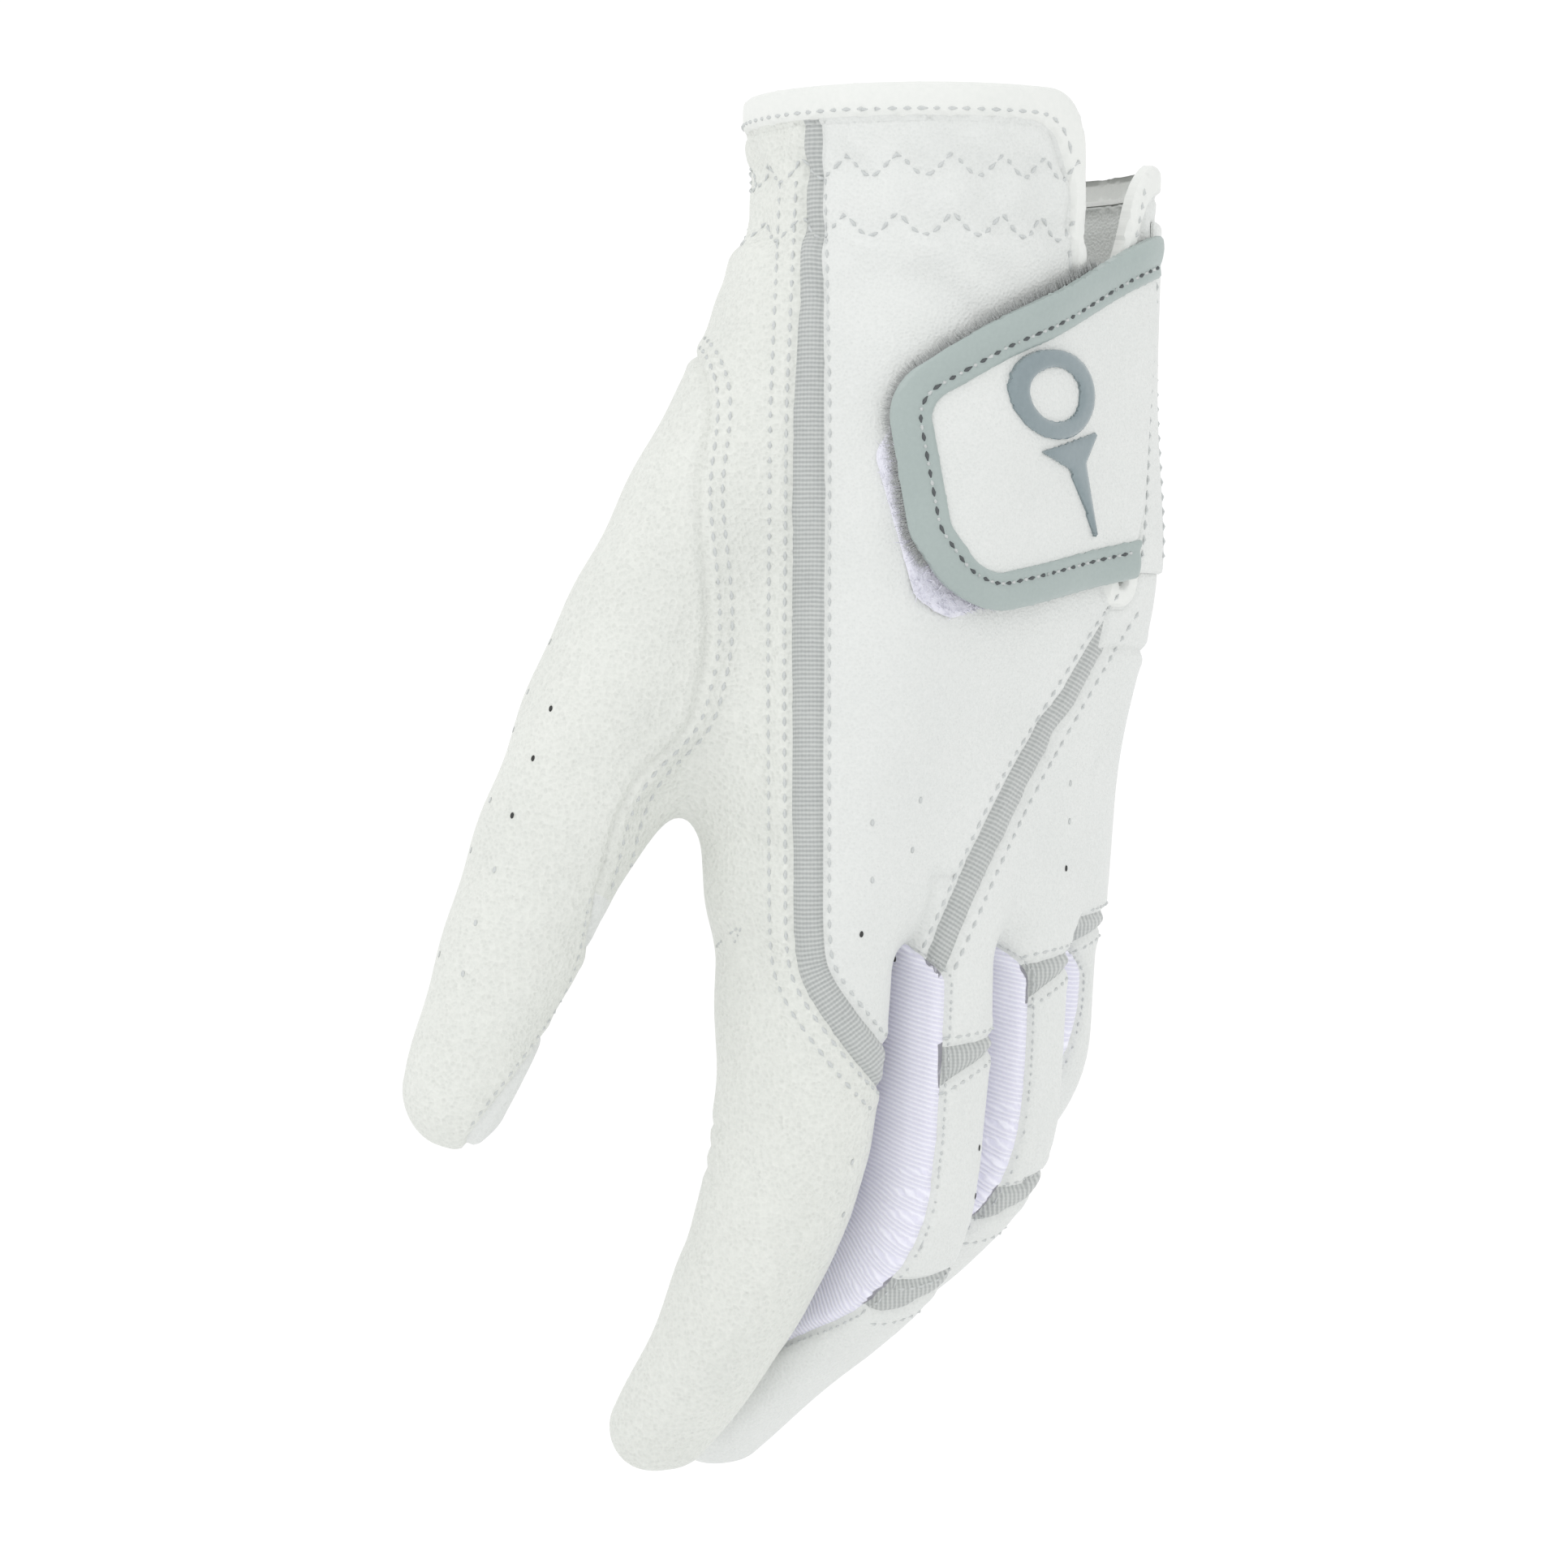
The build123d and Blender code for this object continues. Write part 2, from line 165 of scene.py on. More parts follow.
# ---- the fingers ---------------------------------------------------------------------------------
class Finger:
    """One finger: rows of y, z, half depth down its centre line, in the plane that it bends in."""

    def __init__(self, name, half_width, rows):
        self.name = name
        self.knuckle = JOINT[f"{name}_knuckle_bend"]
        self.middle = JOINT[f"{name}_middle_bend"]
        self.x = self.knuckle[0]
        widths = half_width * np.array([1, 1, 1, 1, 0.93, 0.80])
        self.path = rounded_path(np.column_stack([rows, widths]), dims=2, reach=13)
        low, high = self.path.min(0), self.path.max(0)
        self.low = np.array([self.x - half_width, low[0] - 11, low[1] - 8])
        self.high = np.array([self.x + half_width, high[0] + 11, high[1] + 6])
        self.middle_run = nearest_on(self.middle[1:], self.path, 2)[2]
        self.length = nearest_on(self.path[-1, :2], self.path, 2)[2]

    def place(self, p):
        """(offset along x, offset towards the palm, run, half depth, half width) of each point."""
        gap, side, run, extra = nearest_on(p[..., 1:], self.path, 2)
        return p[..., 0] - self.x, gap * side, run, extra[..., 0], extra[..., 1]

    def field(self, p):
        across, height, _, depth, width = self.place(p)
        roundness = 2.5
        ring = (np.abs(across / width) ** roundness + np.abs(height / depth) ** roundness) ** (1 / roundness)
        return (ring - 1) * np.minimum(width, depth)


FINGERS = [    # root, knuckle, half way, middle joint, end joint, tip
    Finger("index", 9.3, [(5.0, -96, 13), (5.6, -117, 13.2), (6.2, -134, 12.2), (8.2, -150, 10.8),
                          (19, -171, 8.5), (32, -187.3, 6.3)]),
    Finger("middle", 9.0, [(2.5, -96, 13), (2.6, -117, 13.2), (2.0, -138, 11.4), (3.2, -160, 9.6),
                           (22.5, -175.5, 8.0), (37.3, -188.6, 6.0)]),
    Finger("ring", 8.8, [(3.4, -96, 12.5), (3.4, -117, 12.4), (2.6, -133, 11), (3.4, -149, 9.6),
                         (17.5, -162.5, 8.0), (32, -174, 6.4)]),
    Finger("little", 7.4, [(7.6, -96, 10.5), (8.4, -113, 10.2), (8.6, -125, 9.4), (9.2, -137, 8.5),
                           (18.5, -148, 7.2), (27, -156, 6.0)]),
]
FINGER = {finger.name: finger for finger in FINGERS}
WEB_TOP = -119.5               # height of the crotch between two fingers
WEB_GAP = 0.65                 # half the clearance between two fingers
WEBS = [
    ((a.x + a.path[0, 3]) + (b.x - b.path[0, 3])) / 2 for a, b in zip(FINGERS[:-1], FINGERS[1:])
]

# ---- the thumb -----------------------------------------------------------------------------------
THUMB_KNUCKLE = JOINT["thumb_knuckle_bend"]
THUMB_JOINT = JOINT["thumb_tip_bend"]
THUMB = rounded_path(
    [
        (-21, 9.5, -34, 13.0),
        (*THUMB_KNUCKLE, 11.6),
        (*THUMB_JOINT, 9.9),
        (-65.6, 34.6, -138.6, 7.4),
    ],
    dims=3,
    reach=14,
)
THUMB_DIRECTION = (THUMB_JOINT - THUMB_KNUCKLE) / np.linalg.norm(THUMB_JOINT - THUMB_KNUCKLE)


def thumb_field(p):
    gap, _, _, extra = nearest_on(p, THUMB, 3)
    return gap - extra[..., 0]


def near_box(p, low, high, margin):
    return np.all((p > low - margin) & (p < high + margin), axis=-1)


def part_field(field, p, low, high):
    """A member's field where p is near its box, and far away elsewhere."""
    value = np.full(p.shape[:-1], 40.0)
    near = near_box(p, low, high, 14.0)
    value[near] = field(p[near])
    return value


def thumb_part(p):
    return part_field(thumb_field, p, THUMB[:, :3].min(0) - 10, THUMB[:, :3].max(0) + 10)


def body_part(p):
    """Hand and fingers, with the clearance between the fingers."""
    fingers = np.full(p.shape[:-1], 40.0)
    for finger in FINGERS:
        fingers = np.minimum(fingers, part_field(finger.field, p, finger.low, finger.high))
    solid = smooth_min(hand_field(p), fingers, 4)
    for web in WEBS:
        slot = np.maximum(np.abs(p[..., 0] - web) - WEB_GAP, p[..., 2] - WEB_TOP)
        solid = smooth_max(solid, -slot, 0.8)
    return solid


def glove_field(p):
    web = 10 + 6.5 * ramp(p[..., 2], -62, -88)
    return smooth_min(body_part(p), thumb_part(p), web)


def gradient(field, p, reach=0.4):
    """The outward direction of a field at each point."""
    slope = np.empty_like(p)
    for axis in range(3):
        shift = np.zeros(3)
        shift[axis] = reach
        slope[:, axis] = field(p + shift) - field(p - shift)
    return slope / (2 * reach)


def settle(field, p, rounds=1):
    """Moves points on to the zero level of a field."""
    for _ in range(rounds):
        slope = gradient(field, p)
        p = p - slope * (field(p) / np.maximum((slope**2).sum(1), 0.2))[:, None]
    return p


# ---- meshing -------------------------------------------------------------------------------------
def surface_nets(field, low, high, step):
    """Vertices and quads of a field's zero level: one vertex in each lattice cell that it crosses."""
    axes = [np.arange(a, b + step, step) for a, b in zip(low, high)]
    lattice = np.stack(np.meshgrid(*axes, indexing="ij"), axis=-1)
    value = field(lattice)
    inside = value < 0
    corners = [(i, j, k) for i in (0, 1) for j in (0, 1) for k in (0, 1)]
    cells = tuple(n - 1 for n in value.shape)

    def at(grid, corner):
        return grid[tuple(slice(c, c + n) for c, n in zip(corner, cells))]

    count = sum(at(inside, c).astype(int) for c in corners)
    active = (count > 0) & (count < 8)
    index = np.full(cells, -1)
    index[active] = np.arange(active.sum())
    values = {c: at(value, c)[active] for c in corners}
    total = np.zeros((active.sum(), 3))
    hits = np.zeros(active.sum())
    for a in corners:
        for axis in range(3):
            if a[axis]:
                continue
            b = tuple(c + (n == axis) for n, c in enumerate(a))
            crossed = (values[a] < 0) != (values[b] < 0)
            share = np.where(crossed, values[a] / np.where(crossed, values[a] - values[b], 1), 0)
            point = np.array(a, float) + share[:, None] * (np.array(b) - np.array(a))
            total[crossed] += point[crossed]
            hits += crossed
    cell = np.argwhere(active)
    vertices = np.array(low) + (cell + total / hits[:, None]) * step
    return vertices, np.concatenate([net_faces(inside, index, axis) for axis in range(3)])


def net_faces(inside, index, axis):
    """The quads round every lattice edge along one axis that the surface crosses."""
    first = np.take(inside, range(inside.shape[axis] - 1), axis)
    second = np.take(inside, range(1, inside.shape[axis]), axis)
    others = [n for n in range(3) if n != axis]
    if axis == 1:
        others.reverse()
    edge = np.argwhere(first != second)
    keep = np.ones(len(edge), bool)
    for other in others:
        keep &= (edge[:, other] > 0) & (edge[:, other] < index.shape[other])
    edge = edge[keep]
    quads = []
    for step_1, step_2 in ((1, 1), (0, 1), (0, 0), (1, 0)):
        cell = edge.copy()
        cell[:, others[0]] -= step_1
        cell[:, others[1]] -= step_2
        quads.append(index[tuple(cell.T)])
    quads = np.stack(quads, axis=1)
    outward = first[tuple(edge.T)]
    return np.where(outward[:, None], quads, quads[:, ::-1])


def triangles(points, quads):
    """Each quad split along its shorter diagonal."""
    first = np.linalg.norm(points[quads[:, 0]] - points[quads[:, 2]], axis=1)
    second = np.linalg.norm(points[quads[:, 1]] - points[quads[:, 3]], axis=1)
    turned = np.where((first < second)[:, None], quads, np.roll(quads, -1, axis=1))
    return np.concatenate([turned[:, [0, 1, 2]], turned[:, [0, 2, 3]]])


def relax(points, faces, share):
    """Each vertex moves a share of the way to the middle of its neighbours."""
    total = np.zeros_like(points)
    count = np.zeros(len(points))
    for a, b in ((0, 1), (1, 2), (2, 0)):
        np.add.at(total, faces[:, a], points[faces[:, b]])
        np.add.at(total, faces[:, b], points[faces[:, a]])
        np.add.at(count, faces[:, a], 1)
        np.add.at(count, faces[:, b], 1)
    return points + share * (total / np.maximum(count, 1)[:, None] - points)


def vertex_normals(points, faces):
    a, b, c = (points[faces[:, i]] for i in range(3))
    face_normal = np.cross(b - a, c - a)
    normals = np.zeros_like(points)
    for i in range(3):
        np.add.at(normals, faces[:, i], face_normal)
    return normals / np.maximum(np.linalg.norm(normals, axis=1), 1e-9)[:, None]


class Skin:
    """A triangle mesh whose faces belong to named panels, and that can be cut along lines."""

    SNAP = 0.12                # a vertex this near a line lies on it

    def __init__(self, points, faces, panel):
        self.points = points
        self.faces = faces
        self.names = [panel]
        self.panel = np.zeros(len(faces), int)

    def code(self, name):
        if name not in self.names:
            self.names.append(name)
        return self.names.index(name)

    def of(self, *names):
        """Which faces belong to these panels."""
        return np.isin(self.panel, [self.code(name) for name in names])

    def divide(self, names, line, above=None, below=None):
        """Cuts panels along line's zero level; the faces above and below it may get new names."""
        names = [names] if isinstance(names, str) else names
        chosen = self.of(*names)
        value = np.full(len(self.points), 9.0)
        used = np.unique(self.faces[chosen])
        value[used] = line(self.points[used])
        value[np.abs(value) < self.SNAP] = 0.0
        value = self.split_edges(value, chosen)
        high = value[self.faces].sum(1) > 0
        chosen = self.of(*names)
        for side, name in ((high, above), (~high, below)):
            if name is not None:
                self.panel[chosen & side] = self.code(name)

    def split_edges(self, value, chosen):
        faces = self.faces
        size = len(self.points)
        ends = np.stack([faces, np.roll(faces, -1, axis=1)], axis=2)
        key = ends.min(2) * size + ends.max(2)
        crossing = (value[ends[..., 0]] * value[ends[..., 1]] < 0) & chosen[:, None]
        cut = np.unique(key[crossing])
        is_cut = np.isin(key, cut)
        a, b = cut // size, cut % size
        share = (value[a] / (value[a] - value[b]))[:, None]
        new = self.points[a] + share * (self.points[b] - self.points[a])
        middle = size + np.searchsorted(cut, key)
        self.points = np.concatenate([self.points, new])
        count = is_cut.sum(1)
        pieces = [faces[count == 0]]
        panels = [self.panel[count == 0]]
        for first in range(3):
            rows = (count == 1) & is_cut[:, first]
            v0, v1, v2 = (faces[rows, (first + i) % 3] for i in range(3))
            m = middle[rows, first]
            pieces += [np.stack([v0, m, v2], 1), np.stack([m, v1, v2], 1)]
            panels += [self.panel[rows]] * 2
            rows = (count == 2) & ~is_cut[:, (first + 2) % 3]
            v0, v1, v2 = (faces[rows, (first + i) % 3] for i in range(3))
            m, n = middle[rows, first], middle[rows, (first + 1) % 3]
            pieces += [np.stack([m, v1, n], 1), np.stack([v0, m, n], 1), np.stack([v0, n, v2], 1)]
            panels += [self.panel[rows]] * 3
        self.faces = np.concatenate(pieces)
        self.panel = np.concatenate(panels)
        return np.concatenate([value, np.zeros(len(new))])

    def drop(self, name):
        keep = ~self.of(name)
        self.faces, self.panel = self.faces[keep], self.panel[keep]

    def seam_points(self, groups):
        """The vertices where panels of two different groups meet."""
        group = np.array([groups.get(name, i) for i, name in enumerate(self.names)])[self.panel]
        low = np.full(len(self.points), 10**6)
        high = np.full(len(self.points), -1)
        for i in range(3):
            np.minimum.at(low, self.faces[:, i], group)
            np.maximum.at(high, self.faces[:, i], group)
        return (high >= 0) & (low != high)


# ---- seam lines ----------------------------------------------------------------------------------
def flat(p):
    """The (u, z) of points as the back's outlines are drawn."""
    return np.stack([p @ ACROSS, p[:, 2]], axis=1)


def polygon_distance(q, corners):
    """Signed distance from 2-D points to a closed outline, below zero inside."""
    corners = np.asarray(corners, float)
    best = np.full(len(q), np.inf)
    inside = np.zeros(len(q), bool)
    for a, b in zip(corners, np.roll(corners, -1, axis=0)):
        step = b - a
        t = np.clip((q - a) @ step / (step @ step), 0, 1)
        best = np.minimum(best, np.linalg.norm(q - a - t[:, None] * step, axis=1))
        crosses = (a[1] > q[:, 1]) != (b[1] > q[:, 1])
        rise = step[1] if step[1] else 1.0
        inside ^= crosses & (q[:, 0] < a[0] + (q[:, 1] - a[1]) / rise * step[0])
    return np.where(inside, -best, best)


def inset(corners, distance):
    """A convex outline drawn anticlockwise or clockwise, with every side moved inwards."""
    corners = np.asarray(corners, float)
    before, after = corners - np.roll(corners, 1, axis=0), np.roll(corners, -1, axis=0) - corners
    turn = np.sign((before[:, 0] * after[:, 1] - before[:, 1] * after[:, 0]).sum())
    moved = []
    for corner, a, b in zip(corners, before, after):
        a, b = a / np.linalg.norm(a), b / np.linalg.norm(b)
        normals = turn * np.array([[-a[1], a[0]], [-b[1], b[0]]])
        moved.append(corner + np.linalg.solve(normals, [distance, distance]))
    return moved


def rounded_inside(corners, radius):
    """A field above zero inside a convex outline whose corners are rounded."""
    core = inset(corners, radius)
    return lambda p: radius - polygon_distance(flat(p), core)


def ribbon_place(path):
    """A function that gives (offset to the right of a ribbon's middle, its half width) at points."""
    path = rounded_path(path, dims=2, reach=5)

    def place(p):
        gap, side, _, extra = nearest_on(flat(p), path, 2)
        return gap * side, extra[..., 0]

    return place


SLIT = [(-1.5, 8), (12.5, 8), (12.0, -9), (7.4, -23), (16.2, -68), (14.8, -68), (-0.8, -20)]   # x, z
BINDING_WIDTH = 4.6
SLIT_BINDING_WIDTH = 3.0
LONG_RIBBON = [                # u, z, half width
    (-19.9, 3, 1.0), (-20.0, -12, 1.1), (-20.4, -45, 2.1), (-20.6, -80, 2.2), (-20.5, -118, 2.1),
    (-19.6, -123, 2.1), (-12.0, -133, 2.2), (2.0, -148, 2.2),
]
DIAGONAL_RIBBON = [(25.5, -70, 0.9), (22.6, -74, 1.1), (9.2, -96, 1.6), (4.2, -106, 1.6), (-2.5, -121, 1.6)]
THUMB_SEAM = [(-145, -67), (-123, -52), (-109, -48.5), (-95.5, -43.6), (-88.5, -37.2), (-82, -35),
              (-58, -35.3), (-33, -38.8), (-24, -50)]                                   # z, u
FINGER_ROOT = -109.0           # height where the hand's panels end and the fingers' begin
BACK_LIMIT = 3.0               # y of the seam between back and palm along the little finger's side
THUMB_ZONE = (-8.0, 29.0)      # where the thumb's pieces start, along the thumb from its knuckle
long_ribbon = ribbon_place(LONG_RIBBON)
diagonal_ribbon = ribbon_place(DIAGONAL_RIBBON)


def past_left_edge(p):
    """Above zero to the right of the long ribbon's left edge."""
    offset, half_width = long_ribbon(p)
    return offset + half_width


def before_right_edge(p):
    """Above zero to the left of the long ribbon's right edge."""
    offset, half_width = long_ribbon(p)
    return half_width - offset


def on_diagonal(p):
    """Above zero on the diagonal ribbon."""
    offset, half_width = diagonal_ribbon(p)
    return half_width - np.abs(offset)


def edge_distance(p):
    """Distance from the edge of the wrist opening and its slit, above zero on the leather."""
    x, z = p[:, 0], p[:, 2]
    front = p[:, 1] < 0
    dip = 8.5 * ramp(p[:, 1], 18, 3) * ramp(x, 4, 8)
    slit = np.where(front, polygon_distance(p[:, [0, 2]], SLIT), 60)
    return smooth_min(-dip - z, slit, 8)


def right_of_thumb_seam(p):
    q = flat(p)
    seam = np.array(THUMB_SEAM)
    return (q[:, 0] - eased(q[:, 1], seam[:, 0], seam[:, 1])) * 0.9


def along_thumb(p):
    return (p - THUMB_KNUCKLE) @ THUMB_DIRECTION


KNITS = {                      # finger: side (-1 towards the thumb): reach over the back, in degrees
    "index": {1: 32},
    "middle": {-1: 56, 1: 30},
    "ring": {-1: 64, 1: 34},
    "little": {-1: 92},
}
KNIT_PALM_REACH = 24
BANDS = {                      # finger: top and bottom height at the thumb side, then at the other side
    "middle": (-132.8, -138.2, -131.6, -133.6),
    "ring": (-121.8, -127.6, -120.2, -122.4),
    "little": (-115.5, -120.5, -114.5, -116.8),
}
FLEX_BANDS = {"middle": (3.0, 7.6), "ring": (1.5, 6.3)}    # run past the middle joint


KNIT_TAPER = {"index": 50, "middle": 50, "ring": 38, "little": 36}    # how far from the tip it narrows


def knit_share(finger, z, run):
    """How much of its full width a knit side has: it narrows to a point at the web and at the tip."""
    return ramp(z, -114, -124) * ramp(run, finger.length - 8, finger.length - KNIT_TAPER[finger.name])


def knit_line(finger, side):
    """Above zero where a finger's knit side is."""
    reach = KNITS[finger.name][side]

    def line(p):
        across, height, run, depth, width = finger.place(p)
        angle = np.degrees(np.arctan2(height / depth, side * across / width))
        share = knit_share(finger, p[:, 2], run)
        inside = np.minimum(angle + reach * share, KNIT_PALM_REACH * share - angle)
        return np.radians(inside) * (depth + width) / 2

    return line


def band_line(finger):
    top_left, low_left, top_right, low_right = BANDS[finger.name]

    def line(p):
        share = np.clip(finger.place(p)[0] / 5 + 1, 0, 2) / 2
        top = top_left + (top_right - top_left) * share
        low = low_left + (low_right - low_left) * share**0.7
        return np.minimum(top - p[:, 2], p[:, 2] - low)

    return line


def flex_line(finger):
    start, end = FLEX_BANDS[finger.name]

    def line(p):
        across, _, run, _, _ = finger.place(p)
        share = np.clip(across / 5 + 1, 0, 2) / 2
        past = run - finger.middle_run
        low = end - 3.6 * share
        return np.minimum(past - (start - 1.6 * share), low - past)

    return line


# ---- skin: mesh, seams, panels -------------------------------------------------------------------
def rename(skin, old, new):
    skin.panel[skin.of(old)] = skin.code(new)


def seam(skin, names, line, above):
    """A real seam: a cut, and two more lines beside it that keep the puffed edge crisp."""
    names = [names] if isinstance(names, str) else list(names)
    skin.divide(names, line, above=above)
    for shift in (-0.7, 0.7):
        skin.divide([*names, above], lambda p: line(p) + shift)


def raw_skin():
    low = np.minimum(THUMB[:, :3].min(0) - 12, [-40, -28, -197])
    high = np.array([40.0, 46.0, 6.0])
    points, quads = surface_nets(glove_field, np.round(low), high, GRID)
    faces = triangles(points, quads)
    points = settle(glove_field, relax(points, faces, 0.5))
    points = settle(glove_field, relax(points, faces, 0.3))
    return Skin(points, faces, "palm_panel")


def cut_hand(skin):
    seam(skin, "palm_panel", lambda p: -edge_distance(p), "waste")
    skin.drop("waste")
    skin.divide("palm_panel", lambda p: along_thumb(p) - THUMB_ZONE[0], above="beyond")
    skin.divide("beyond", lambda p: body_part(p) - thumb_part(p), above="thumb_gusset")
    rename(skin, "beyond", "palm_panel")
    seam(skin, "thumb_gusset", lambda p: -right_of_thumb_seam(p), "thumb_stall")
    for part, tip in (("thumb_stall", "thumb_tip"), ("thumb_gusset", "thumb_tip_gusset")):
        skin.divide(part, lambda p: along_thumb(p) - THUMB_ZONE[1], above=tip)
    skin.divide("palm_panel", lambda p: FINGER_ROOT - p[:, 2], above="fingers")
    seam(skin, "palm_panel", lambda p: -right_of_thumb_seam(p), "thumb_base_panel")
    skin.divide("palm_panel", lambda p: BACK_LIMIT - p[:, 1], above="front")
    seam(skin, "front", past_left_edge, "back_panel")
    rename(skin, "front", "palm_panel")
    seam(skin, "back_panel", before_right_edge, "long_stretch_ribbon")
    past_slit = lambda p: np.minimum(p[:, 0] - 14, p[:, 2] + 77)
    seam(skin, "back_panel", past_slit, "ulnar_back_panel")
    seam(skin, "back_panel", on_diagonal, "diagonal_stretch_ribbon")
    skin.divide("back_panel", lambda p: diagonal_ribbon(p)[0], above="knuckle_back_panel")
    cuffed = ["palm_panel", "back_panel", "ulnar_back_panel", "long_stretch_ribbon"]
    seam(skin, cuffed, lambda p: slit_width(p) - edge_distance(p), "cuff_binding")
    skin.divide("cuff_binding", lambda p: -16 - p[:, 2], above="slit_binding")


def slit_width(p):
    """Width of the binding: broad round the rim, narrower down the slit."""
    return SLIT_BINDING_WIDTH + (BINDING_WIDTH - SLIT_BINDING_WIDTH) * ramp(p[:, 2], -16, -8)


def cut_fingers(skin):
    for finger, web in zip(FINGERS, [*WEBS, 1000.0]):
        root, tip = f"{finger.name}_palm_strip", f"{finger.name}_tip_palm"
        skin.divide("fingers", lambda p: web - p[:, 0], above=root)
        skin.divide(root, lambda p: finger.place(p)[2] - split_run(finger), above=tip)
        for side in KNITS[finger.name]:
            seam(skin, root, knit_line(finger, side), f"{finger.name}_fourchette")
            seam(skin, tip, knit_line(finger, side), f"{finger.name}_tip_fourchette")
        if finger.name == "index":
            cut_index(skin, finger)
        else:
            cut_back_of_finger(skin, finger)
    seam(skin, "middle_root_back", on_diagonal, "diagonal_ribbon_end")


def split_run(finger):
    """Run just before the middle joint starts to bend, where a finger's two zones' panels meet."""
    return finger.middle_run - 10.3


def cut_index(skin, finger):
    """The long ribbon crosses the index finger, with back leather above it and palm leather below."""
    root = "index_palm_strip"
    centre = finger.path[:, 0].mean() * AWAY[1] + finger.x * AWAY[0]
    skin.divide(root, lambda p: centre - p @ AWAY, above="index_front")
    seam(skin, "index_front", past_left_edge, "index_back_strip")
    seam(skin, "index_back_strip", before_right_edge, "index_knuckle_band")
    rename(skin, "index_front", root)


def cut_back_of_finger(skin, finger):
    name = finger.name
    root, tip = f"{name}_palm_strip", f"{name}_tip_palm"
    skin.divide(root, lambda p: -finger.place(p)[1], above=f"{name}_back_strip")
    skin.divide(tip, lambda p: -finger.place(p)[1], above=f"{name}_tip_back")
    seam(skin, f"{name}_back_strip", band_line(finger), f"{name}_knuckle_band")
    middle_of_band = (BANDS[name][0] + BANDS[name][3]) / 2
    skin.divide(f"{name}_back_strip", lambda p: p[:, 2] - middle_of_band, above=f"{name}_root_back")
    if name in FLEX_BANDS:
        seam(skin, f"{name}_tip_back", flex_line(finger), f"{name}_flex_band")


# ---- each panel's zone: one body, or two bodies and a span between them --------------------------
def finger_zones():
    zones = {}
    for finger in FINGERS:
        name = finger.name
        root_start, root_end = (finger.x, finger.knuckle[1], FINGER_ROOT), (finger.x, finger.knuckle[1], -126)
        zones[f"{name}_root"] = ("hand", f"{name}_stall", root_start, root_end)
        joint = np.array([finger.x, *finger.middle[1:]])
        lean = 0.5 * bend_direction(finger)
        reach = 8.5 if name == "little" else 10
        tip_start, tip_end = joint - lean * 2 * reach, joint + lean * 2 * reach
        zones[f"{name}_tip"] = (f"{name}_stall", f"{name}_tip", tip_start, tip_end)
    return zones


def bend_direction(finger):
    """Unit vector along the finger at its middle joint."""
    i = np.argmin(np.linalg.norm(finger.path[:, :2] - finger.middle[1:], axis=1))
    step = finger.path[i + 1, :2] - finger.path[i - 1, :2]
    return np.array([0, *(step / np.linalg.norm(step))])


def thumb_point(distance):
    return THUMB_KNUCKLE + THUMB_DIRECTION * distance


ZONES = {"hand": ("hand",), "closure_tab": ("closure_tab",), **finger_zones()}
ZONES["thumb_root"] = ("hand", "thumb_stall", thumb_point(THUMB_ZONE[0]), thumb_point(26))
ZONES["thumb_end"] = ("thumb_stall", "thumb_tip", thumb_point(31), thumb_point(44))


def attach(piece, zone):
    """Makes a piece follow its zone's body; a piece of a two-body zone only has its transform baked."""
    facts = ZONES[zone]
    if len(facts) == 1:
        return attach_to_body(piece, facts[0])
    a, b, start, end = facts
    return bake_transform(piece, a, b, start=tuple(np.array(start) * MM), end=tuple(np.array(end) * MM))


# ---- relief: puffed seams, gathers, creases ------------------------------------------------------
def seam_group(name):
    """Panels of one group are one piece of leather, so no seam shows between them."""
    if name.startswith("thumb"):
        return "palm" if "gusset" in name else "thumb"
    if name in ("palm_panel",) or name.endswith("palm_strip") or name.endswith("tip_palm"):
        return "palm"
    if name in ("back_panel", "index_back_strip"):
        return "back"
    if name == "knuckle_back_panel" or name.endswith("root_back"):
        return "knuckle"
    if "fourchette" in name:
        return name.split("_")[0] + "_knit"
    if name in ("long_stretch_ribbon", "index_knuckle_band"):
        return "long_ribbon"
    if name in ("diagonal_stretch_ribbon", "diagonal_ribbon_end"):
        return "diagonal"
    if name in ("cuff_binding", "slit_binding"):
        return "binding"
    if name.endswith("back_strip") or name.endswith("tip_back"):
        return name.split("_")[0] + "_back"
    return name


CREASES = [    # middle u, z, heading in degrees, length, width, depth: soft folds of the back and thumb
    (-8, -26, -14, 12, 2.6, 0.55), (-2, -29, -24, 13, 2.2, 0.5), (3, -25.5, -8, 9, 2.0, 0.4),
    (-12, -31, -30, 9, 2.4, 0.35), (8, -31, -35, 8, 2.0, 0.35), (-36, -93, 35, 9, 2.0, 0.5),
    (-41, -99, 30, 8, 1.8, 0.5), (-33, -88, 42, 8, 1.8, 0.35), (-27, -104, -12, 9, 2.6, 0.3),
    (-33, -26, 12, 9, 2.2, 0.35), (-30, -31, 20, 9, 2.2, 0.3), (-52, -118, 12, 9, 2.4, 0.3),
    (-25, -146, -8, 10, 3.0, 0.3), (-30, -160, -14, 9, 2.6, 0.3), (-3, -150, -12, 7, 2.2, 0.25),
    (14, -88, -40, 10, 2.6, 0.3), (20, -92, -48, 8, 2.2, 0.3),
]


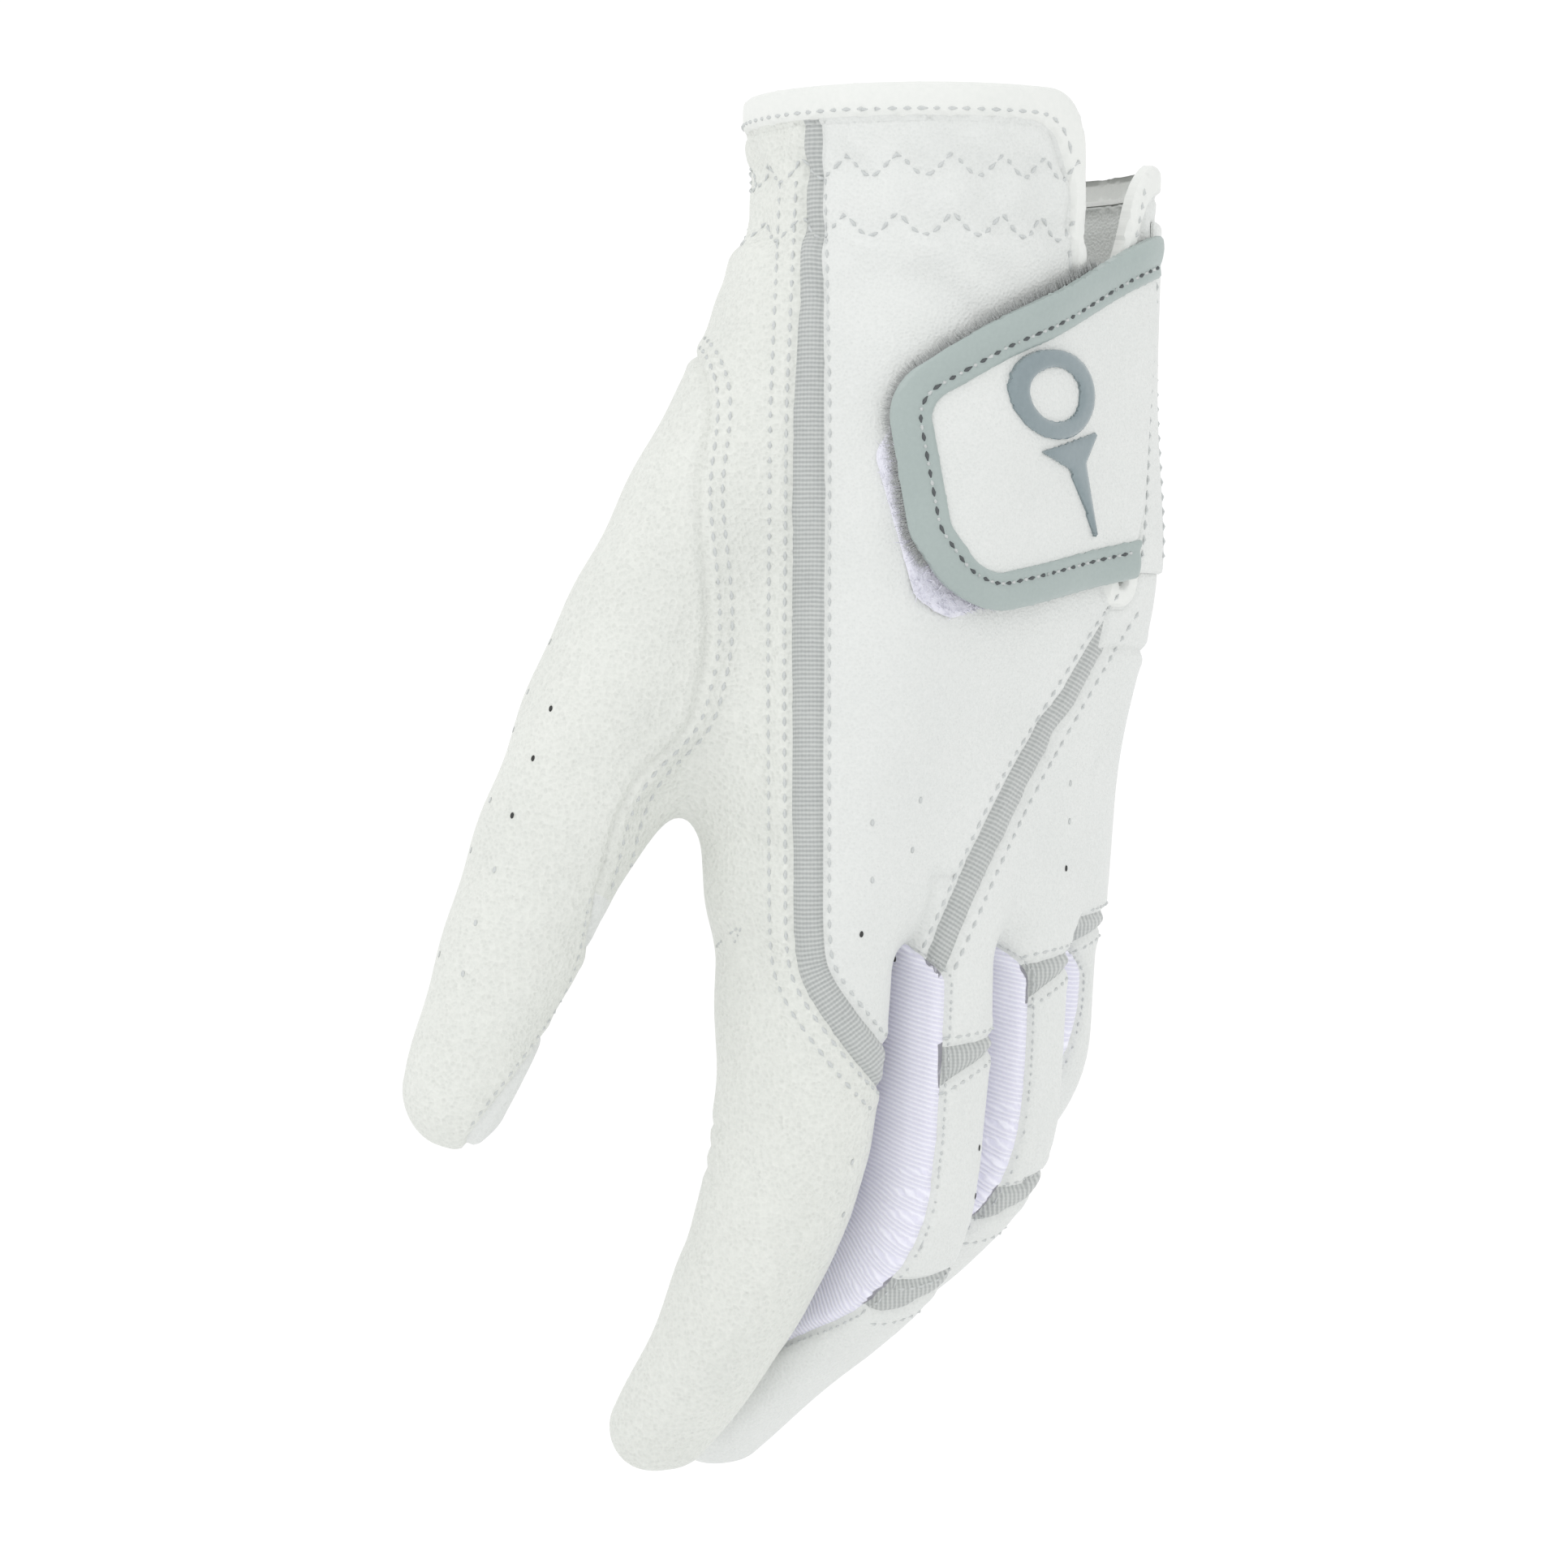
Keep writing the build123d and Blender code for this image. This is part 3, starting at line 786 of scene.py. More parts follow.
def relief(p):
    """How far the leather rises above the plain form, before its seams."""
    q = flat(p)
    near_side = p @ AWAY < 8
    height = np.zeros(len(p))
    for u, z, heading, length, width, depth in CREASES:
        turn = math.radians(heading)
        offset = q - [u, z]
        along = offset @ [math.cos(turn), math.sin(turn)]
        across = offset @ [-math.sin(turn), math.cos(turn)] + 0.03 * along**2
        fade = np.exp(-((along / length) ** 2)) * near_side
        height -= depth * fade * np.exp(-((across / width) ** 2))
        height += 0.6 * depth * fade * np.exp(-(((across - 1.9 * width) / width) ** 2))
    turn_round = np.arctan2(p[:, 0], -p[:, 1])
    gather = ramp(p[:, 2], -27, -20) * ramp(p[:, 2], -4, -8) * ramp(p[:, 0], 0, -4)
    height += gather * 0.38 * np.sin(turn_round * 21 + 0.35 * p[:, 2] + np.sin(p[:, 2] * 0.6))
    for z in ZIGZAG_HEIGHTS:
        height -= 0.45 * np.exp(-(((p[:, 2] - z) / 1.9) ** 2)) * ramp(p[:, 0], 2, -3)
    swell = np.sin(p @ [0.21, 0.13, 0.09]) * np.sin(p @ [-0.08, 0.17, 0.16] + 1.3)
    palm_fold = np.sin(p[:, 2] * 0.35 + p[:, 0] * 0.12) * ramp(p[:, 1], 8, 16)
    return height + 0.22 * swell + 0.18 * palm_fold


def finger_creases(p):
    """Folds across the palm side of each finger's joints."""
    depth = np.zeros(len(p))
    for finger in FINGERS:
        near = near_box(p, finger.low, finger.high, 2)
        _, height, run, _, _ = finger.place(p[near])
        inner = ramp(height, 2, 6)
        for centre in (finger.middle_run - 4, finger.middle_run, finger.middle_run + 4):
            depth[near] -= 0.4 * inner * np.exp(-(((run - centre) / 1.1) ** 2))
    return depth


ZIGZAG_HEIGHTS = (-11.2, -19.4)
SEAM_SINK, SEAM_PUFF = 0.55, 0.16


def seam_relief(skin):
    groups = {name: group_number(name) for name in skin.names}
    marked = np.flatnonzero(skin.seam_points(groups))
    tree = KDTree(len(marked))
    for i, index in enumerate(marked):
        tree.insert(skin.points[index], i)
    tree.balance()
    distance = np.array([tree.find(point)[2] for point in skin.points])
    return puff(distance)


def puff(distance):
    """A seam's section: a narrow valley with a soft rise beside it."""
    rise = SEAM_PUFF * np.exp(-(((distance - 1.7) / 0.9) ** 2))
    return rise - SEAM_SINK * np.exp(-((distance / 0.62) ** 2))


GROUPS = []


def group_number(name):
    """A panel's seam group as a number, given out in order of first use."""
    group = seam_group(name)
    if group not in GROUPS:
        GROUPS.append(group)
    return GROUPS.index(group)


# ---- materials -----------------------------------------------------------------------------------
class Nodes:
    """Short calls for building one material's node tree. Lengths in it are millimetres."""

    def __init__(self, name):
        self.material = bpy.data.materials.new(name)
        self.material.use_nodes = True
        self.tree = self.material.node_tree
        self.shader = self.tree.nodes["Principled BSDF"]
        self.place = self.attribute("rest_mm", "Vector")

    def add(self, kind, **settings):
        node = self.tree.nodes.new(kind)
        for key, value in settings.items():
            if key in node.inputs:
                if isinstance(value, bpy.types.NodeSocket):
                    self.tree.links.new(value, node.inputs[key])
                else:
                    node.inputs[key].default_value = value
            else:
                setattr(node, key, value)
        return node

    def attribute(self, name, output="Fac"):
        return self.add("ShaderNodeAttribute", attribute_name=name).outputs[output]

    def maths(self, operation, a, b=0.0):
        node = self.add("ShaderNodeMath", operation=operation)
        for socket, value in zip(node.inputs, (a, b)):
            if isinstance(value, bpy.types.NodeSocket):
                self.tree.links.new(value, socket)
            else:
                socket.default_value = value
        return node.outputs[0]

    def noise(self, size, detail=2.0):
        node = self.add("ShaderNodeTexNoise", Vector=self.place, Scale=1 / size, Detail=detail)
        return node.outputs["Fac"]

    def cells(self, size, smooth=0.4):
        node = self.add("ShaderNodeTexVoronoi", feature="SMOOTH_F1", Vector=self.place, Scale=1 / size)
        node.inputs["Smoothness"].default_value = smooth
        return node.outputs["Distance"]

    def sum_of(self, a, share_a, b, share_b):
        return self.maths("ADD", self.maths("MULTIPLY", a, share_a), self.maths("MULTIPLY", b, share_b))

    def ribs(self, coordinate, spacing):
        """A rounded wave of ribs, one each spacing."""
        turn = self.maths("MULTIPLY", coordinate, math.tau / spacing)
        return self.maths("MULTIPLY_ADD", self.maths("SINE", turn), 0.5)

    def blend(self, share, low, high):
        node = self.add("ShaderNodeMix", data_type="RGBA")
        self.tree.links.new(share, node.inputs["Factor"])
        node.inputs[6].default_value = (*low, 1)
        node.inputs[7].default_value = (*high, 1)
        return node.outputs[2]

    def colour(self, share, low, high):
        self.tree.links.new(self.blend(share, low, high), self.shader.inputs["Base Color"])

    def bump(self, height, depth):
        """Relief of the given depth in millimetres."""
        node = self.add("ShaderNodeBump", Strength=1.0, Distance=depth * MM, Height=height)
        self.tree.links.new(node.outputs[0], self.shader.inputs["Normal"])

    def finish(self, roughness, **sockets):
        self.shader.inputs["Roughness"].default_value = roughness
        for name, value in sockets.items():
            self.shader.inputs[name.replace("_", " ")].default_value = value
        return self.material


def srgb(r, g, b):
    """Linear colour from 0 to 255 display values."""
    return tuple(((v / 255 + 0.055) / 1.055) ** 2.4 for v in (r, g, b))


def leather(name, light, dark, grain, depth):
    n = Nodes(name)
    pores = n.maths("ADD", n.cells(grain), n.maths("MULTIPLY", n.noise(grain * 0.8), 0.7))
    folds = n.maths("MULTIPLY", n.noise(5.0, 3.0), 2.2)
    n.colour(n.sum_of(pores, 0.45, n.noise(14.0), 0.5), dark, light)
    n.bump(n.maths("ADD", pores, folds), depth)
    return n.finish(0.52, Specular_IOR_Level=0.35)


def ribbed(name, light, dark, spacing, depth, cross=0.0):
    """Ribs run across the strip, so they repeat along it; cross adds a finer rib the other way."""
    n = Nodes(name)
    along = n.maths("ADD", n.attribute("along"), n.maths("MULTIPLY", n.noise(1.2), 0.12))
    height = n.ribs(along, spacing)
    if cross:
        finer = n.ribs(n.attribute("across"), spacing * 0.8)
        height = n.maths("ADD", height, n.maths("MULTIPLY", finer, cross))
    height = n.maths("ADD", height, n.maths("MULTIPLY", n.noise(0.35), 0.5))
    # The colour follows the rib height: the dark colour in the rib valleys is painted shade and the light
    # colour on the crests is painted highlight, over the cloth's own tone.
    n.colour(n.sum_of(height, 0.6, n.noise(4.0), 0.25), dark, light)
    n.bump(height, depth)
    return n.finish(0.75, Sheen_Weight=0.25)


def plain(name, light, dark, roughness, grain, depth, **sockets):
    n = Nodes(name)
    height = n.noise(grain, 3.0)
    n.colour(n.sum_of(height, 0.6, n.noise(9.0), 0.4), dark, light)
    n.bump(height, depth)
    return n.finish(roughness, **sockets)


PALM = leather("palm_leather", srgb(224, 226, 221), srgb(203, 206, 201), 0.62, 0.20)
BACK = leather("back_leather", srgb(222, 224, 222), srgb(207, 210, 208), 0.44, 0.09)
# The ribbon's grey and the knit's lavender-white are their own tones; each light and dark pair is a lit and a
# shaded copy, painted along the ribs.
RIBBON = ribbed("grey_ribbon", srgb(196, 199, 197), srgb(146, 150, 150), 0.62, 0.10, cross=0.25)
KNIT = ribbed("white_knit", srgb(240, 240, 249), srgb(212, 211, 229), 0.66, 0.12)
BINDING = plain("binding", srgb(230, 231, 228), srgb(216, 219, 216), 0.6, 0.9, 0.05)
TRIM = plain("grey_trim", srgb(166, 178, 175), srgb(150, 162, 160), 0.42, 0.5, 0.02, Coat_Weight=0.25)
EMBLEM = plain("emblem", srgb(134, 148, 152), srgb(112, 127, 132), 0.24, 0.8, 0.01, Coat_Weight=0.6)
THREAD = plain("white_thread", srgb(214, 217, 216), srgb(178, 182, 182), 0.7, 0.25, 0.05)
DARK_THREAD = plain("grey_thread", srgb(96, 100, 102), srgb(66, 70, 72), 0.7, 0.25, 0.05)
# The open vent holes' dark floor: painted shade standing for the shadowed inside of each hole.
HOLE_SHADE = plain("holes", srgb(70, 71, 70), srgb(40, 41, 41), 0.9, 0.4, 0.05)
ELASTIC = plain("elastic", srgb(226, 226, 222), srgb(204, 205, 202), 0.8, 0.5, 0.1)
LOOP = plain("loop_pile", srgb(236, 236, 244), srgb(214, 214, 226), 0.9, 0.5, 0.3, Sheen_Weight=0.6)
HOOK = plain("hook_pile", srgb(196, 198, 197), srgb(152, 155, 155), 0.6, 0.35, 0.2)


# ---- turning panels into pieces ------------------------------------------------------------------
def shell(name, outer, inner, faces, normals, attributes, material):
    """A closed sheet: outer and inner faces, and the rim between them along each open edge."""
    used = np.unique(faces)
    renumber = np.full(len(outer), -1)
    renumber[used] = np.arange(len(used))
    faces, outer, inner, normals = renumber[faces], outer[used], inner[used], normals[used]
    count = len(used)
    starts, ends = faces.ravel(), np.roll(faces, -1, axis=1).ravel()
    key, twin = starts * count + ends, ends * count + starts
    open_edge = ~np.isin(key, twin)
    a, b = starts[open_edge], ends[open_edge]
    rim = np.stack([b, a, a + count, b + count], axis=1)
    points = np.concatenate([outer, inner]) * MM
    mesh = bpy.data.meshes.new(name)
    mesh.from_pydata(points.tolist(), [], faces.tolist() + (faces[:, ::-1] + count).tolist() + rim.tolist())
    mesh.polygons.foreach_set("use_smooth", np.ones(len(mesh.polygons), bool))
    corner = points[rim]
    rim_normal = np.cross(corner[:, 1] - corner[:, 0], corner[:, 3] - corner[:, 0])
    rim_normal /= np.maximum(np.linalg.norm(rim_normal, axis=1), 1e-12)[:, None]
    loops = np.concatenate([
        normals[faces.ravel()], -normals[faces[:, ::-1].ravel()], np.repeat(rim_normal, 4, axis=0)
    ])
    mesh.normals_split_custom_set(loops.tolist())
    for key, values in attributes.items():
        kind, field = ("FLOAT_VECTOR", "vector") if values.ndim == 2 else ("FLOAT", "value")
        data = mesh.attributes.new(key, kind, "POINT").data
        data.foreach_set(field, np.concatenate([values[used]] * 2).astype(np.float32).ravel())
    mesh.materials.append(material)
    piece = bpy.data.objects.new(name, mesh)
    bpy.context.scene.collection.objects.link(piece)
    return piece


def panel_table():
    """Panel name: (zone, material, record slot, CAD nodes that it stands for)."""
    table = {
        "palm_panel": ("hand", PALM, "leather", ["palm_panel"]),
        "thumb_base_panel": ("hand", PALM, "leather", ["thumb_base_panel"]),
        "back_panel": ("hand", BACK, "leather", ["back_panel"]),
        "ulnar_back_panel": ("hand", BACK, "leather", ["ulnar_back_panel"]),
        "knuckle_back_panel": ("hand", BACK, "leather", ["knuckle_back_panel"]),
        "long_stretch_ribbon": ("hand", RIBBON, "grey_stretch", ["long_stretch_ribbon"]),
        "diagonal_stretch_ribbon": ("hand", RIBBON, "grey_stretch", ["diagonal_stretch_ribbon"]),
        "diagonal_ribbon_end": ("middle_root", RIBBON, "grey_stretch", []),
        "cuff_binding": ("hand", BINDING, "binding", ["cuff_binding"]),
        "slit_binding": ("hand", BINDING, "binding", ["slit_binding"]),
        "thumb_stall": ("thumb_root", PALM, "leather", ["thumb_stall", "thumb_knuckle_sleeve"]),
        "thumb_gusset": ("thumb_root", PALM, "gusset_leather", ["thumb_gusset"]),
        "thumb_tip": ("thumb_end", PALM, "leather", ["thumb_tip", "thumb_joint_sleeve"]),
        "thumb_tip_gusset": ("thumb_end", BACK, "gusset_leather", ["thumb_tip_gusset"]),
    }
    for finger in FINGERS:
        name = finger.name
        root, tip = f"{name}_root", f"{name}_tip"
        palm_nodes = [f"{name}_palm_strip", f"{name}_knuckle_sleeve"]
        table[f"{name}_palm_strip"] = (root, PALM, "leather", palm_nodes)
        table[f"{name}_fourchette"] = (root, KNIT, "white_knit", [f"{name}_fourchette"])
        table[f"{name}_back_strip"] = (root, BACK, "leather", [f"{name}_back_strip"])
        table[f"{name}_root_back"] = (root, BACK, "leather", [])
        table[f"{name}_knuckle_band"] = (root, RIBBON, "grey_stretch", [f"{name}_knuckle_band"])
        table[f"{name}_tip_palm"] = (tip, PALM, "leather", [f"{name}_tip_palm", f"{name}_flex_sleeve"])
        table[f"{name}_tip_fourchette"] = (tip, KNIT, "white_knit", [f"{name}_tip_fourchette"])
        table[f"{name}_tip_back"] = (tip, BACK, "leather", [f"{name}_tip_back"])
        table[f"{name}_flex_band"] = (tip, RIBBON, "grey_stretch", [f"{name}_flex_band"])
    table["index_tip_palm"][3].append("index_tip_back")
    return table


TABLE = panel_table()


def cloth_coordinates(skin):
    """Along and across, in millimetres, for the ribs of every ribbon and knit side."""
    p = skin.points
    along, across = p[:, 2] * 1.0, p @ ACROSS
    for finger in FINGERS:
        prefix = finger.name
        ribbons = [n for n in skin.names if n.startswith(prefix) and ("fourchette" in n or "flex" in n)]
        used = np.unique(skin.faces[skin.of(*ribbons)])
        _, height, run, _, _ = finger.place(p[used])
        along[used], across[used] = run + 0.35 * height, height
    used = np.unique(skin.faces[skin.of("long_stretch_ribbon", "index_knuckle_band")])
    gap, side, run, _ = nearest_on(flat(p[used]), rounded_path(LONG_RIBBON, dims=2, reach=5), 2)
    along[used], across[used] = run, gap * side
    for names in (("middle_flex_band", "ring_flex_band"),
                  tuple(f"{finger.name}_knuckle_band" for finger in FINGERS[1:])):
        used = np.unique(skin.faces[skin.of(*names)])
        along[used], across[used] = p[used] @ ACROSS, p[used, 2]
    lean = np.array([math.cos(math.radians(58)), math.sin(math.radians(58))])
    for name in ("diagonal_stretch_ribbon", "diagonal_ribbon_end"):
        used = np.unique(skin.faces[skin.of(name)])
        along[used], across[used] = flat(p[used]) @ lean, flat(p[used]) @ [-lean[1], lean[0]]
    return along, across


def build_skin():
    skin = raw_skin()
    cut_hand(skin)
    cut_fingers(skin)
    rest = skin.points.copy()
    along, across = cloth_coordinates(skin)
    out = gradient(glove_field, rest)
    out /= np.linalg.norm(out, axis=1)[:, None]
    edge = edge_distance(rest)
    lift = relief(rest) + finger_creases(rest) + seam_relief(skin)
    width = slit_width(rest)
    bound = (edge < width + 0.3) & (rest[:, 2] > -75)
    rounded = np.sqrt(np.clip(1 - (np.clip(edge, 0, width) / width * 2 - 1) ** 4, 0, 1))
    lift = np.where(bound, 0.3 * relief(rest) + 0.75 * rounded, lift)
    skin.points = rest + out * lift[:, None]
    normals = vertex_normals(skin.points, skin.faces)
    attributes = {"rest_mm": rest, "along": along, "across": across}
    for name in skin.names:
        faces = skin.faces[skin.of(name)]
        if not len(faces) or name not in TABLE:
            continue
        zone, material, slot, nodes = TABLE[name]
        thickness = WALL
        if "binding" in name:
            thickness = (WALL + 0.5 + 0.9 * rounded)[:, None]
        elif "ribbon" in name or "band" in name or "fourchette" in name:
            thickness = 0.7
        inner = skin.points - out * thickness
        piece = shell(name, skin.points, inner, faces, normals, attributes, material)
        finish_piece(piece, zone, slot, nodes)
    return skin, normals


def finish_piece(piece, zone, slot, nodes=()):
    attach(piece, zone)
    if nodes:
        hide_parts(*nodes)
    return piece


# ---- sheets that lie on the back of the hand: tab, pads, trim, emblem ----------------------------
TAB_OUTLINE = [                # u, z
    (40, -10.5), (26.2, -19.5), (3.0, -33.2), (-9.7, -42), (-6.9, -62.5), (-0.6, -72.9), (26.5, -66.2),
    (40, -64),
]
LOOP_OUTLINE = [(-4, -39), (6, -36), (6, -70), (-1.2, -73.6), (-5.9, -70.6), (-11.3, -51)]
HOOK_OUTLINE = [(-7.5, -43), (3.2, -35), (5.5, -36), (5.5, -67.5), (1.5, -69), (-4.5, -62)]
TAB_ROOT_X = 16.8
TRIM_WIDTH = 5.0
TRIM_STITCH = 3.6              # the trim's stitches, from the tab's outer edge
TAB_LOW = 1.95                 # the tab's inner face above the hand
TAB_THICK = 1.2
SHEET_GRID = 0.8
TAB_CORNER = 9.0
tab_inside = rounded_inside(TAB_OUTLINE, TAB_CORNER)


def on_hand(x, z):
    """The points of the back of the hand at these x and z, and the outward directions there."""
    p = np.stack([x, np.full(len(x), -45.0), z], axis=1)
    for _ in range(40):
        p[:, 1] += hand_field(p) * 0.8
    normal = gradient(hand_field, p)
    return p, normal / np.linalg.norm(normal, axis=1)[:, None]


def sheet_skin(x_range, z_range, name, spacing=SHEET_GRID):
    """A flat lattice laid on the back of the hand."""
    xs = np.arange(x_range[0], x_range[1] + spacing, spacing)
    zs = np.arange(z_range[0], z_range[1] + spacing, spacing)
    grid_x, grid_z = np.meshgrid(xs, zs, indexing="ij")
    points, _ = on_hand(grid_x.ravel(), grid_z.ravel())
    index = np.arange(len(points)).reshape(len(xs), len(zs))
    quads = np.stack([index[:-1, :-1], index[1:, :-1], index[1:, 1:], index[:-1, 1:]], axis=-1).reshape(-1, 4)
    return Skin(points, triangles(points, quads), name)


def sheet_piece(name, skin, inside, low, high, material, zone, slot, nodes, bevel=0.45, shape=None, lines=()):
    """Cuts a sheet to where inside is above zero and gives it thickness, a rounded edge and a shape."""
    skin.divide(name, inside, below="waste")
    skin.drop("waste")
    for line in (0.25, 0.7, *lines):
        skin.divide(name, lambda p: inside(p) - line)
    base, normal = on_hand(skin.points[:, 0], skin.points[:, 2])
    if zone == "closure_tab":
        base = base + normal * settled(skin.points)[:, None]
    distance = inside(skin.points)
    share = np.clip(distance / (bevel * 2), 0, 1)
    top = high - bevel * (1 - np.sqrt(1 - (1 - share) ** 2))
    if shape is not None:
        top = top + shape(skin.points)
    outer, inner = base + normal * top[:, None], base + normal * low
    normals = vertex_normals(outer, skin.faces)
    along, across = skin.points[:, 2], skin.points[:, 0]
    attributes = {"rest_mm": outer.copy(), "along": along, "across": across}
    piece = shell(name, outer, inner, skin.faces, normals, attributes, material)
    return finish_piece(piece, zone, slot, nodes)


def settled(p):
    """Past the pads the tab comes down on to the hand, towards its root."""
    return -1.35 * ramp(p[:, 0], -9, 9)


def tab_field(p):
    return np.minimum(tab_inside(p), TAB_ROOT_X - p[:, 0])


def trim_shape(p):
    """The moulded trim is a little higher along its outer edge, with a channel for its stitches."""
    inward = tab_inside(p)
    swell = 0.25 * np.exp(-(((inward - 1.5) / 1.2) ** 2))
    return swell - 0.25 * np.exp(-(((inward - TRIM_STITCH) / 0.5) ** 2))


def ball_and_tee(p):
    """A plain golf ball ring over a tapered tee, leaning with the tab."""
    turn = math.radians(20)
    lean = np.array([[math.cos(turn), -math.sin(turn)], [math.sin(turn), math.cos(turn)]])
    q = (flat(p) - [13.2, -47.5]) @ lean
    ring = 1.2 - np.abs(np.linalg.norm(q - [0, 5.9], axis=1) - 5.0)
    below = -0.9 - q[:, 1]
    cup = np.minimum(np.minimum(below, 3.6 - below), 4.9 - np.abs(q[:, 0]) - 1.0 * below)
    shaft = np.minimum(1.9 - np.abs(q[:, 0]) - 0.13 * below, np.minimum(below - 1, 14.0 - below))
    return np.maximum(ring, np.maximum(cup, shaft))


def quilt(p):
    """The tab's leather swells a little inside its trim."""
    return 0.5 * ramp(tab_inside(p), TRIM_WIDTH, TRIM_WIDTH + 5) - 0.15


def trim_field(p):
    return np.minimum(tab_field(p), TRIM_WIDTH - tab_inside(p))


def tab_leather_field(p):
    return tab_field(p) - 0.35


def rectangle(x_range, z_range):
    """A field above zero inside a rectangle of x and z."""
    return lambda p: np.minimum(
        np.minimum(p[:, 0] - x_range[0], x_range[1] - p[:, 0]),
        np.minimum(z_range[1] - p[:, 2], p[:, 2] - z_range[0]),
    )


def build_closure():
    top = TAB_LOW + TAB_THICK
    across, down = (-34, 20), (-78, -8)
    sheet_piece("loop_pad", sheet_skin(across, down, "loop_pad"), rounded_inside(LOOP_OUTLINE, 3),
                0.1, 0.85, LOOP, "hand", "loop_pile", ["loop_pad"])
    sheet_piece("hook_pad", sheet_skin(across, down, "hook_pad"), rounded_inside(HOOK_OUTLINE, 2),
                1.02, 1.9, HOOK, "closure_tab", "hook_pile", ["hook_pad"], bevel=0.2)
    sheet_piece("closure_tab", sheet_skin(across, down, "closure_tab"), tab_leather_field,
                TAB_LOW, top, BACK, "closure_tab", "leather", ["closure_tab"], bevel=0.3, shape=quilt)
    sheet_piece("tab_trim", sheet_skin(across, down, "tab_trim", 0.6), trim_field,
                top - 0.9, top + 0.5, TRIM, "closure_tab", "grey_trim", ["tab_trim"],
                bevel=0.5, shape=trim_shape, lines=(1.6, 2.6, 3.1, 3.6, 4.1))
    sheet_piece("tab_emblem", sheet_skin((-19, 19), (-70, -28), "tab_emblem", 0.4), ball_and_tee,
                top - 0.1, top + 1.05, EMBLEM, "closure_tab", "emblem", ["tab_emblem"], bevel=0.45)
    root_strip = rectangle((TAB_ROOT_X + 0.3, 27.5), (-66, -16.5))
    sheet_piece("tab_anchor", sheet_skin((17, 29), (-68, -14), "tab_anchor"), root_strip,
                0.15, 1.05, BACK, "hand", "leather", ["tab_anchor"], bevel=0.5)
    elastic_band = rectangle((-29, -3), (-22.5, -8))
    sheet_piece("cuff_elastic", sheet_skin((-30, -2), (-24, -6), "cuff_elastic"), elastic_band,
                -1.9, -1.1, ELASTIC, "hand", "elastic", ["cuff_elastic"], bevel=0.2)


# ---- stitches, holes and fuzz --------------------------------------------------------------------
class Surface:
    """The finished surface of the glove, for laying things on it."""

    def __init__(self, skin, normals):
        self.skin, self.normals = skin, normals
        self.tree = BVHTree.FromPolygons(skin.points.tolist(), skin.faces.tolist())

    def hit(self, start, direction):
        """(point, outward direction, panel name) where a line meets the surface, or None."""
        point, _, face, _ = self.tree.ray_cast(Vector(start), Vector(direction))
        if point is None:
            return None
        smooth = self.normals[self.skin.faces[face]].mean(0)
        return np.array(point), smooth / np.linalg.norm(smooth), self.skin.names[self.skin.panel[face]]


def seen_from_side(surface, rows):
    """Lays a (u, z) line on the surface as the back's outlines are drawn."""
    rows = dense(rows)
    hits = [surface.hit(ACROSS * u + np.array([0, 0, z]) - AWAY * 90, AWAY) for u, z in rows]
    return [hit for hit in hits if hit]


def dense(rows, spacing=0.35):
    """A line with points at an even spacing."""
    rows = np.asarray(rows, float)
    lengths = np.linalg.norm(np.diff(rows, axis=0), axis=1)
    run = np.concatenate([[0], np.cumsum(lengths)])
    at = np.arange(0, run[-1], spacing)
    return np.stack([np.interp(at, run, column) for column in rows.T], axis=1)


def beside(path, offset):
    """A line at a distance to the right of a ribbon's edge, or to the left where offset is negative."""
    path = rounded_path(path, dims=2, reach=5)
    step = np.gradient(path[:, :2], axis=0)
    step /= np.linalg.norm(step, axis=1)[:, None]
    right = np.stack([-step[:, 1], step[:, 0]], axis=1)
    return path[:, :2] + right * (np.sign(offset) * path[:, 2] + offset)[:, None]


class Thread:
    """Collects stitches, and makes one mesh of them for each zone."""

    def __init__(self, name, material, slot):
        self.name, self.material, self.slot = name, material, slot
        self.points, self.faces = {}, {}
        self.on_knit = False

    def row(self, hits, length=1.35, gap=0.75, radius=0.24, start=None):
        """Stitches end to end along hits."""
        if len(hits) < 3:
            return
        places = np.array([hit[0] for hit in hits])
        run = np.concatenate([[0], np.cumsum(np.linalg.norm(np.diff(places, axis=0), axis=1))])
        start = gap / 2 if start is None else start
        while start + length < run[-1]:
            i, j, k = (np.searchsorted(run, start + length * share) for share in (0, 0.5, 1))
            k = min(k, len(hits) - 1)
            jump = np.linalg.norm(places[k] - places[i])
            if k > i and jump < 2 * length:
                self.stitch(hits[i], hits[min(j, k)], hits[k], radius)
            start += length + gap

    def stitch(self, first, middle, last, radius):
        if "fourchette" in middle[2] and not self.on_knit:
            return
        zone = TABLE[middle[2]][0] if middle[2] in TABLE else middle[2]
        points = self.points.setdefault(zone, [])
        faces = self.faces.setdefault(zone, [])
        start = len(points)
        forward = last[0] - first[0]
        forward /= max(np.linalg.norm(forward), 1e-6)
        for (place, normal, _), share, size in ((first, -0.5, 0.45), (middle, 0.42, 1.0), (last, -0.5, 0.45)):
            sideways = np.cross(normal, forward)
            for corner in range(6):
                turn = math.tau * corner / 6
                points.append(place + normal * radius * (share + size * math.sin(turn))
                              + sideways * radius * size * 1.15 * math.cos(turn))
        for ring in (0, 6):
            for corner in range(6):
                a, b = start + ring + corner, start + ring + (corner + 1) % 6
                faces.append((a, b, b + 6, a + 6))
        faces.append(tuple(start + i for i in reversed(range(6))))
        faces.append(tuple(start + 12 + i for i in range(6)))

    def finish(self):
        for zone, points in self.points.items():
            build_loose(f"{self.name}_{zone}", points, self.faces[zone], self.material, zone, self.slot)


